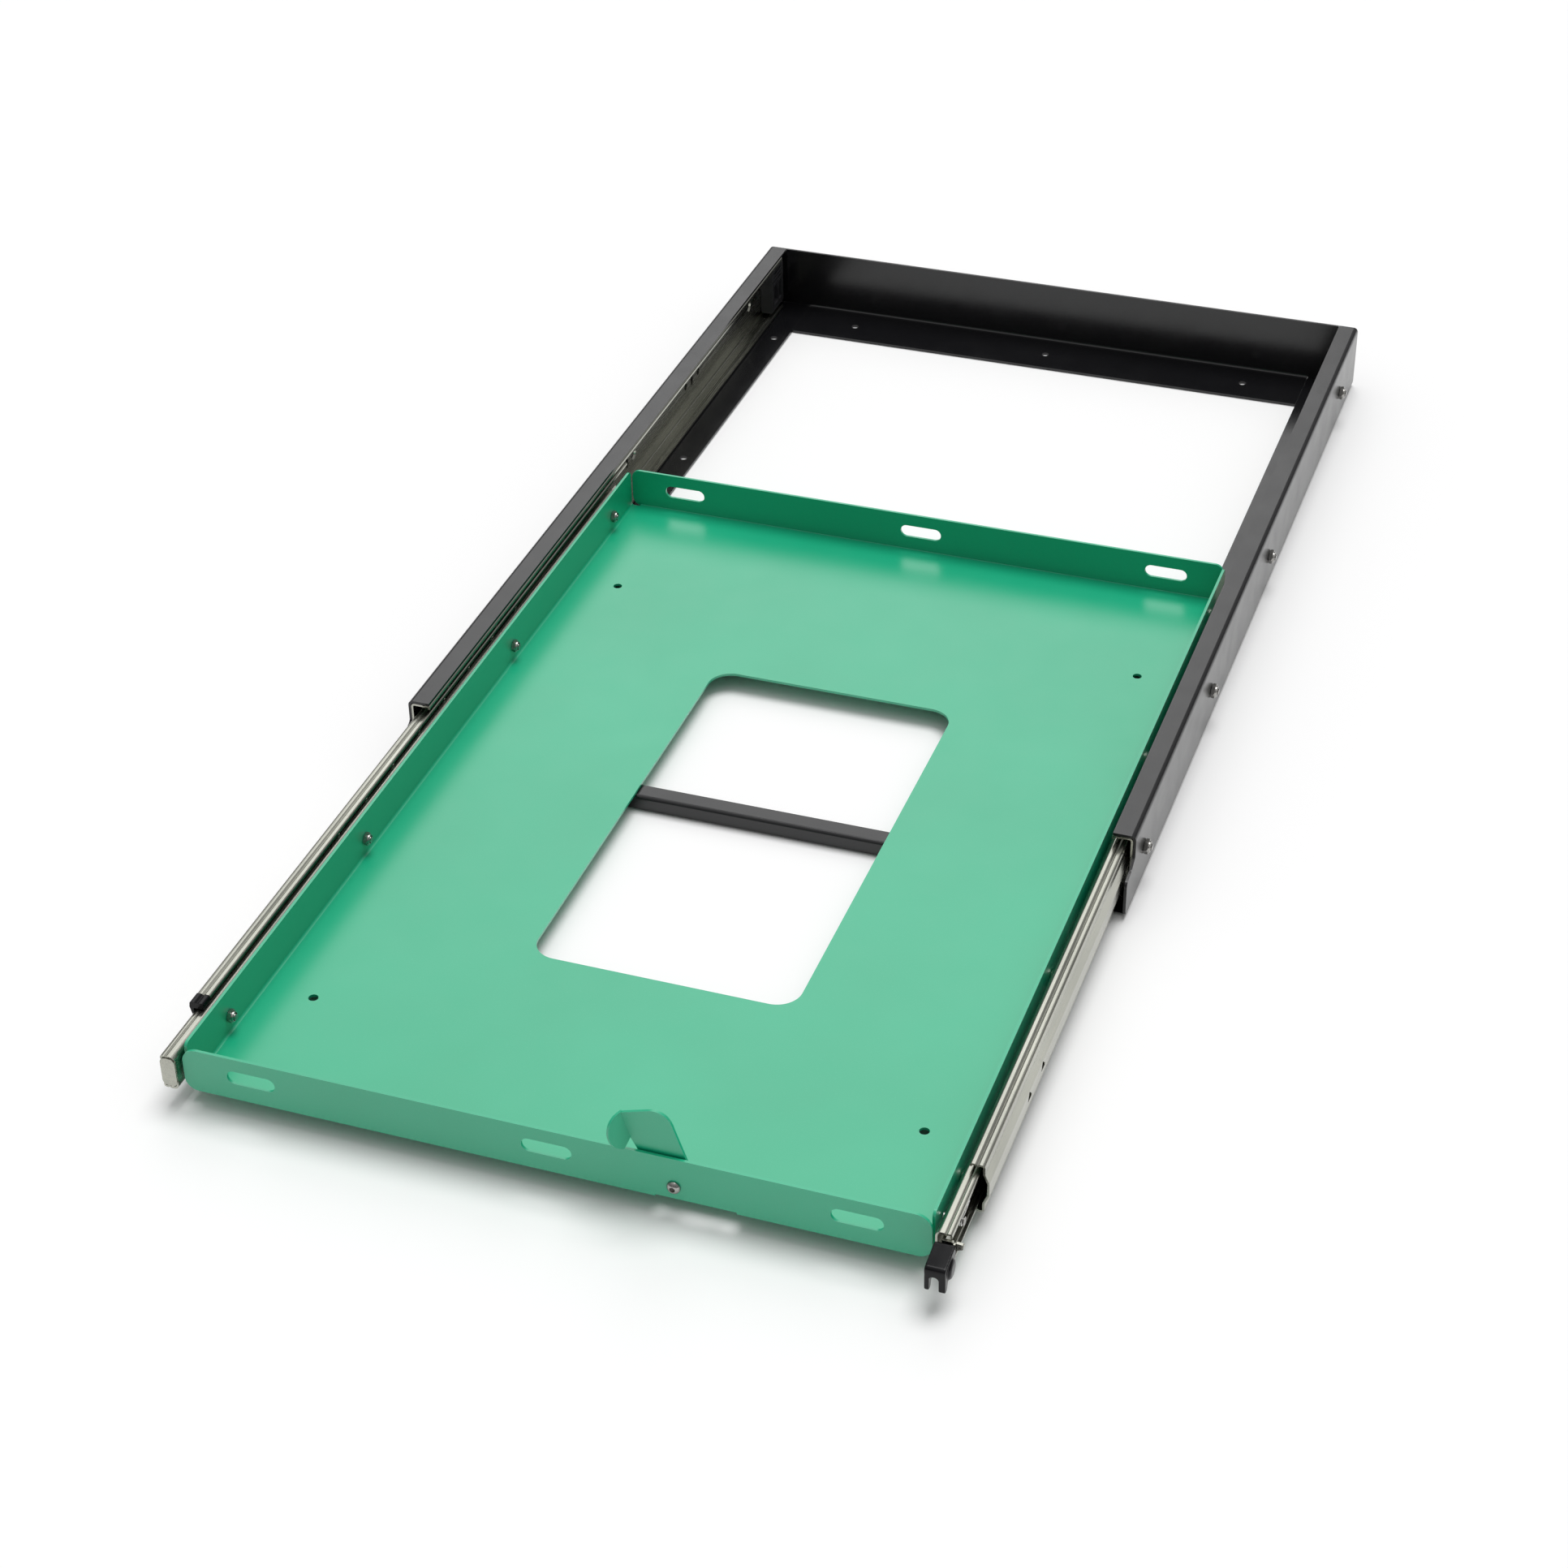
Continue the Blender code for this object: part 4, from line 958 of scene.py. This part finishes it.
LATCH_LEAN = 18.0
LATCH_EDGE = -18.3
WING_RADIUS = 12.6
WING_SWEEP = 156.0
WING_OUT = 2.5
WING_ROOT = 6.5
WING_HEIGHT = 45.4
WING_FOLD = 60.0
WING_STEPS = 30
BLADE_TOP = 57.7
WING_LAP = 0.9


def latch_pivot():
    joint = [j for j in frame["joints"] if j["name"] == "latch_hinge"][0]
    return Vector(joint["pos_m"]) / MM


def wing_outline(pivot):
    """A lobe about a point left of the bend, joined to the plate along the bend's upper part only."""
    edge, middle = pivot.x + LATCH_EDGE, pivot.z + WING_HEIGHT
    angles = [math.radians(90.0 + WING_SWEEP * k / WING_STEPS) for k in range(WING_STEPS + 1)]
    lobe = [Vector((edge - WING_OUT + WING_RADIUS * math.cos(t), middle + WING_RADIUS * math.sin(t)))
            for t in angles]
    lap = edge + WING_LAP
    root = [(edge, middle - WING_ROOT), (lap, middle - WING_ROOT), (lap, middle + WING_RADIUS)]
    return lobe + [Vector(point) for point in root]


def make_latch():
    """The swinging plate, with its finger wing folded forward along the left edge."""
    pivot = latch_pivot()
    blade = fillet(
        [(-14.5, -1.0, 3.0), (-8.0, -6.5, 3.0), (19.0, -6.5, 2.0), (22.0, -9.0, 1.0), (22.0, -15.5, 1.5),
         (33.5, -15.5, 2.5), (33.5, -6.0, 3.0), (14.2, 4.0, 4.0), (13.6, BLADE_TOP, 12.0),
         (LATCH_EDGE, BLADE_TOP, 0.0), (LATCH_EDGE, 39.0, 0.0), (-16.8, 30.0, 3.0)], 10
    )
    outline = [Vector((pivot.x + p.x, pivot.z + p.y)) for p in blade]
    hole = circle(pivot.x, pivot.z, HOLE_RADIUS)
    latch = extruded("latch_plate", "XZ", [outline, hole], pivot.y, pivot.y + SHEET)
    wing = extruded("wing", "XZ", [wing_outline(pivot)], pivot.y, pivot.y + SHEET)
    fold = Matrix.Translation(Vector((pivot.x + LATCH_EDGE, pivot.y + SHEET / 2, 0.0)) * MM)
    wing.data.transform(fold @ Matrix.Rotation(math.radians(WING_FOLD), 4, "Z") @ fold.inverted())
    latch = softened(combine(latch, [wing], "UNION"), GREEN_EDGE)
    there = Matrix.Translation(pivot * MM)
    latch.data.transform(there @ Matrix.Rotation(math.radians(-LATCH_LEAN), 4, "Y") @ there.inverted())
    settle(latch, "latch", ["latch_lever"], GREEN)


LATCH_SHANK_LENGTH = 9.0
LATCH_SOCKET_RADIUS = 2.1
LATCH_SOCKET_DEPTH = 1.9


def make_latch_fasteners(pattern):
    """The latch's button-head screw through the front flange, and its nut behind the plate."""
    low, high = box_mm("latch_pivot_screw")
    pivot = latch_pivot()
    head = [(0, 0), (1.7, -0.02), (2.7, -0.35), (3.7, -0.95), (4.4, -1.8), (4.7, -2.6), (4.7, -2.9),
            (THREAD_RADIUS, -2.9), (THREAD_RADIUS, -6.0), (0, -6.0)]
    cap = turned("latch_pivot_bolt", head, (pivot.x, low.y, pivot.z), (0, -1, 0), 48)
    hexagon = circle(pivot.x, pivot.z, LATCH_SOCKET_RADIUS, 6, 0.4)
    socket = extruded("socket", "XZ", [hexagon], low.y - RECESS_PAST, low.y + LATCH_SOCKET_DEPTH)
    cap = combine(cap, [socket], "DIFFERENCE")
    shank = turned("shank", threaded(LATCH_SHANK_LENGTH), (pivot.x, high.y, pivot.z), (0, 1, 0), 24)
    bolt = combine(cap, [shank], "UNION")
    smooth(bolt, 40.0)
    settle(bolt, "tray", ["latch_pivot_screw"], STEEL)
    face = box_mm("latch_pivot_nut")[0].y
    nut = copy_of(pattern, "latch_pivot_lock_nut", placed((pivot.x, face, pivot.z), (0, 1, 0)))
    settle(nut, "tray", ["latch_pivot_nut"], STEEL)


# ---------------------------------------------------------------- lock lever

# The plate's two faces, as distances from the rail's web.
LEVER_SHEET = (14.6, 12.6)
LEVER_NECK = (1.5, -4.0)
LEVER_TAB = 2.0


def make_lock_lever(y, z):
    """The steel plate: a neck for the grip, an eye on the rivet and a notched tab to the outside."""
    member_front = box_mm("right_inner_member")[0].y
    front = box_mm("lock_lever")[0].y
    root, tab_rear = member_front + 2.0, member_front - GAP
    neck_top, neck_bottom = z + LEVER_NECK[0], z + LEVER_NECK[1]
    inner, outer = web_x(1.0, LEVER_SHEET[0]), web_x(1.0, LEVER_SHEET[1])
    plate = fillet(
        [(front, neck_top, 1.0), (front, neck_bottom, 1.0), (root - 3.0, neck_bottom, 0.0),
         (root, z - 7.5, 1.5), (y + 5.3, z - 5.3, 4.5), (y + 5.3, z + 5.3, 4.5),
         (tab_rear - LEVER_TAB, z + 5.0, 0.0), (tab_rear - LEVER_TAB, neck_top, 0.0)]
    )
    lever = extruded("lock_lever_plate", "YZ", [plate, circle(y, z, RIVET_HOLE_RADIUS)], inner, outer)
    tab = fillet(
        [(inner + 0.5, z - 1.5, 0.0), (web_x(1.0, 5.0), z - 1.0, 1.0), (web_x(1.0, 1.2), z + 0.4, 1.0),
         (web_x(1.0, 0.5), z + 4.4, 0.8), (web_x(1.0, 5.4), z + 4.6, 0.0), (web_x(1.0, 5.8), z + 3.2, 0.6),
         (web_x(1.0, 7.4), z + 3.2, 0.6), (web_x(1.0, 7.6), z + 5.0, 0.0), (inner + 0.5, z + 5.0, 0.0)]
    )
    lever = combine(lever, [extruded("tab", "XZ", [tab], tab_rear - LEVER_TAB, tab_rear)], "UNION")
    settle(softened(lever, 0.25), "lock", ["lock_lever"], ZINC)


GRIP_VOXEL = 0.32
GRIP_SMOOTH = 26


def make_lock_grip(z):
    """The moulded hood with its fork and finger pad, rounded all over like dipped plastic."""
    low, high = box_mm("lock_lever_grip")
    back, front = high.y - GRIP_VOXEL, low.y + GRIP_VOXEL
    left, right = web_x(1.0, 19.1) + GRIP_VOXEL, web_x(1.0, 5.2)
    hood = fillet(
        [(back, SLIDE_MIDDLE + 9.0, 1.0), (back, SLIDE_MIDDLE - 0.8, 1.5),
         (front + 9.0, SLIDE_MIDDLE - 1.2, 2.0), (front + 5.2, SLIDE_MIDDLE - 12.7, 2.4),
         (front + 0.5, SLIDE_MIDDLE - 12.7, 2.3), (front, SLIDE_MIDDLE + 6.6, 3.0)], 10
    )
    grip = extruded("lock_lever_moulding", "YZ", [hood], left, right)
    pad = turned("pad", [(0, 2.1), (4.8, 2.0), (6.3, 1.3), (7.0, 0.0), (7.0, -3.0), (0, -3.0)],
                 (right, (back + front) / 2, SLIDE_MIDDLE - 0.6), (1, 0, 0), 48)
    grip = combine(grip, [pad], "UNION")
    gap = rounded_box(left + 3.1, SLIDE_MIDDLE - 40.0, right - 4.4, SLIDE_MIDDLE - 0.6, 2.9, 10)
    grip = combine(grip, [extruded("fork_gap", "XZ", [gap], front - 10.0, front + 7.0)], "DIFFERENCE")
    voxels = grip.modifiers.new("skin", "REMESH")
    voxels.mode = "VOXEL"
    voxels.voxel_size = GRIP_VOXEL * MM
    relaxed = grip.modifiers.new("relaxed", "SMOOTH")
    relaxed.factor = 0.5
    relaxed.iterations = GRIP_SMOOTH
    grip = baked(grip)
    inner, outer = web_x(1.0, LEVER_SHEET[0]), web_x(1.0, LEVER_SHEET[1])
    neck_end = box_mm("lock_lever")[0].y - GAP
    socket = [(neck_end, z + LEVER_NECK[0] + GAP), (neck_end, z + LEVER_NECK[1] - GAP),
              (back + 5.0, z + LEVER_NECK[1] - GAP), (back + 5.0, z + LEVER_NECK[0] + GAP)]
    grip = combine(grip, [extruded("socket", "YZ", [socket], inner - GAP, outer + GAP)], "DIFFERENCE")
    smooth(grip, 60.0)
    settle(grip, "lock", ["lock_lever_grip"], GRIP_PLASTIC)


def make_lock_rivet(y, z):
    tip = box_mm("lock_lever_rivet")[1].x
    profile = [(0, 0), (2.4, 0), (3.0, -0.4), (3.0, -0.8), (1.9, -0.8), (1.9, -12.5), (3.6, -12.5),
               (3.6, -13.7), (0, -13.7)]
    rivet = turned("lock_lever_pin", profile, (tip, y, z), (1, 0, 0))
    smooth(rivet, 40.0)
    settle(rivet, "tray", ["lock_lever_rivet"], STEEL)


SPRING_WIRE = 0.4
SPRING_RADIUS = 3.0
SPRING_TURNS = 3
SPRING_STEPS = 28


def make_lock_spring(y, z):
    """A coil of wire round the rivet, with a leg along the lever and a leg along the member."""
    low, high = box_mm("lock_spring")
    start, end = low.x + SPRING_WIRE, high.x - SPRING_WIRE
    count = SPRING_TURNS * SPRING_STEPS
    coil = []
    for k in range(count + 1):
        turn = 2 * math.pi * k / SPRING_STEPS
        coil.append((start + (end - start) * k / count, y + SPRING_RADIUS * math.sin(turn),
                     z + SPRING_RADIUS * math.cos(turn)))
    front_leg = [(start, y - 9.0, z + SPRING_RADIUS), (start, y - 2.5, z + SPRING_RADIUS)]
    rear_leg = [(end, y + 4.0, z + SPRING_RADIUS), (end, y + 14.0, z + SPRING_RADIUS + 1.6)]
    points = front_leg + coil + rear_leg
    curve = bpy.data.curves.new("lock_spring_wire", "CURVE")
    curve.dimensions = "3D"
    curve.bevel_depth = SPRING_WIRE * MM
    curve.bevel_resolution = 3
    curve.use_fill_caps = True
    add_line(curve, points, False)
    wire = baked(bpy.data.objects.new("lock_spring_wire", curve))
    tidy(wire.data)
    smooth(wire, 50.0)
    settle(wire, "tray", ["lock_spring"], BRIGHT)


# ---------------------------------------------------------------- studio

FLOOR_SIZE = 80000.0
FLOOR_DROP = 0.5
PAPER = (0.93, 0.93, 0.93, 1.0)
CAMERA_PLACE = (657.8, -1776.2, 1374.7)
CAMERA_AZIMUTH = 19.802
CAMERA_ELEVATION = 35.152
CAMERA_ROLL = -1.0
LENS = 73.09
SENSOR = 36.0
CLIP = (50.0, 150000.0)
# The room's brightness (height, level), from the horizon to straight overhead.
ROOM = ((0.0, 0.14), (0.3, 0.36), (0.7, 0.60), (1.0, 1.10))
ROOM_STRENGTH = 0.75


def make_floor():
    mesh = bpy.data.meshes.new("studio_floor")
    half = FLOOR_SIZE / 2 * MM
    corners = [(-half, -half, 0), (half, -half, 0), (half, half, 0), (-half, half, 0)]
    mesh.from_pydata(corners, [], [(0, 1, 2, 3)])
    floor = linked("studio_floor", mesh)
    floor.location.z = -FLOOR_DROP * MM
    material = bpy.data.materials.new("studio_paper")
    material.use_nodes = True
    shader = material.node_tree.nodes["Principled BSDF"]
    shader.inputs["Base Color"].default_value = PAPER
    shader.inputs["Roughness"].default_value = 0.9
    shader.inputs["Specular IOR Level"].default_value = 0.1
    mesh.materials.append(material)


def make_sun(name, direction, strength, degrees):
    """A far, wide soft light that comes from a direction."""
    data = bpy.data.lights.new(name, "SUN")
    data.energy = strength
    data.angle = math.radians(degrees)
    light = linked(name, data)
    light.rotation_mode = "QUATERNION"
    light.rotation_quaternion = Vector(direction).to_track_quat("Z", "Y")


def make_world():
    """A white room that is brighter overhead than at the walls."""
    world = bpy.data.worlds.new("studio")
    world.use_nodes = True
    tree = world.node_tree
    background = tree.nodes["Background"]
    direction = tree.nodes.new("ShaderNodeTexCoord").outputs["Generated"]
    split = tree.nodes.new("ShaderNodeSeparateXYZ")
    ramp = tree.nodes.new("ShaderNodeValToRGB")
    tree.links.new(direction, split.inputs["Vector"])
    tree.links.new(split.outputs["Z"], ramp.inputs["Fac"])
    tree.links.new(ramp.outputs["Color"], background.inputs["Color"])
    set_stops(ramp, [(height, (level, level, level)) for height, level in ROOM])
    background.inputs["Strength"].default_value = ROOM_STRENGTH
    bpy.context.scene.world = world


def make_camera():
    azimuth, elevation = math.radians(CAMERA_AZIMUTH), math.radians(CAMERA_ELEVATION)
    back = Vector((math.sin(azimuth) * math.cos(elevation), -math.cos(azimuth) * math.cos(elevation),
                   math.sin(elevation)))
    right = Vector((0, 0, 1)).cross(back).normalized()
    up = back.cross(right)
    cos, sin = math.cos(math.radians(CAMERA_ROLL)), math.sin(math.radians(CAMERA_ROLL))
    right, up = right * cos + up * sin, up * cos - right * sin
    data = bpy.data.cameras.new("camera")
    data.lens = LENS
    data.sensor_width = SENSOR
    data.clip_start, data.clip_end = (distance * MM for distance in CLIP)
    camera = linked("camera", data)
    turn = Matrix((right, up, back)).transposed().to_4x4()
    camera.matrix_world = Matrix.Translation(Vector(CAMERA_PLACE) * MM) @ turn
    bpy.context.scene.camera = camera


# ---------------------------------------------------------------- assembly

bpy.context.scene.view_settings.view_transform = "Standard"
make_camera()
make_world()
make_floor()
make_sun("overhead", (0.1, 0.25, 1.0), 1.75, 36.0)
make_sun("sheen", (-0.27, 0.76, 0.6), 0.28, 30.0)

for word, side in SIDES:
    make_rail(word, side)
    make_rear_stop(word, side)
    make_outer_member(word, side)
    make_intermediate(word, side)
    make_inner_member(word, side)
make_rear_panel()
make_cross_member()
make_bumper()
make_tray()

rail_nut = nut_shape(RAIL_NUT_ACROSS, NUT_THICKNESS)
tray_nut = nut_shape(TRAY_NUT_ACROSS, NUT_THICKNESS)
for word, side in SIDES:
    make_fasteners(word, "rail", side, rail_nut)
    make_fasteners(word, "tray", -side, tray_nut)
make_latch()
make_latch_fasteners(tray_nut)
for pattern in (rail_nut, tray_nut):
    bpy.data.objects.remove(pattern, do_unlink=True)
pin = middle_mm("lock_lever_rivet")
make_lock_lever(pin.y, pin.z)
make_lock_grip(pin.z)
make_lock_rivet(pin.y, pin.z)
make_lock_spring(pin.y, pin.z)
for word, _ in SIDES:
    for node in ("outer_cage_upper", "outer_cage_lower", "inner_cage"):
        keep_node(f"{word}_{node}", BRIGHT)
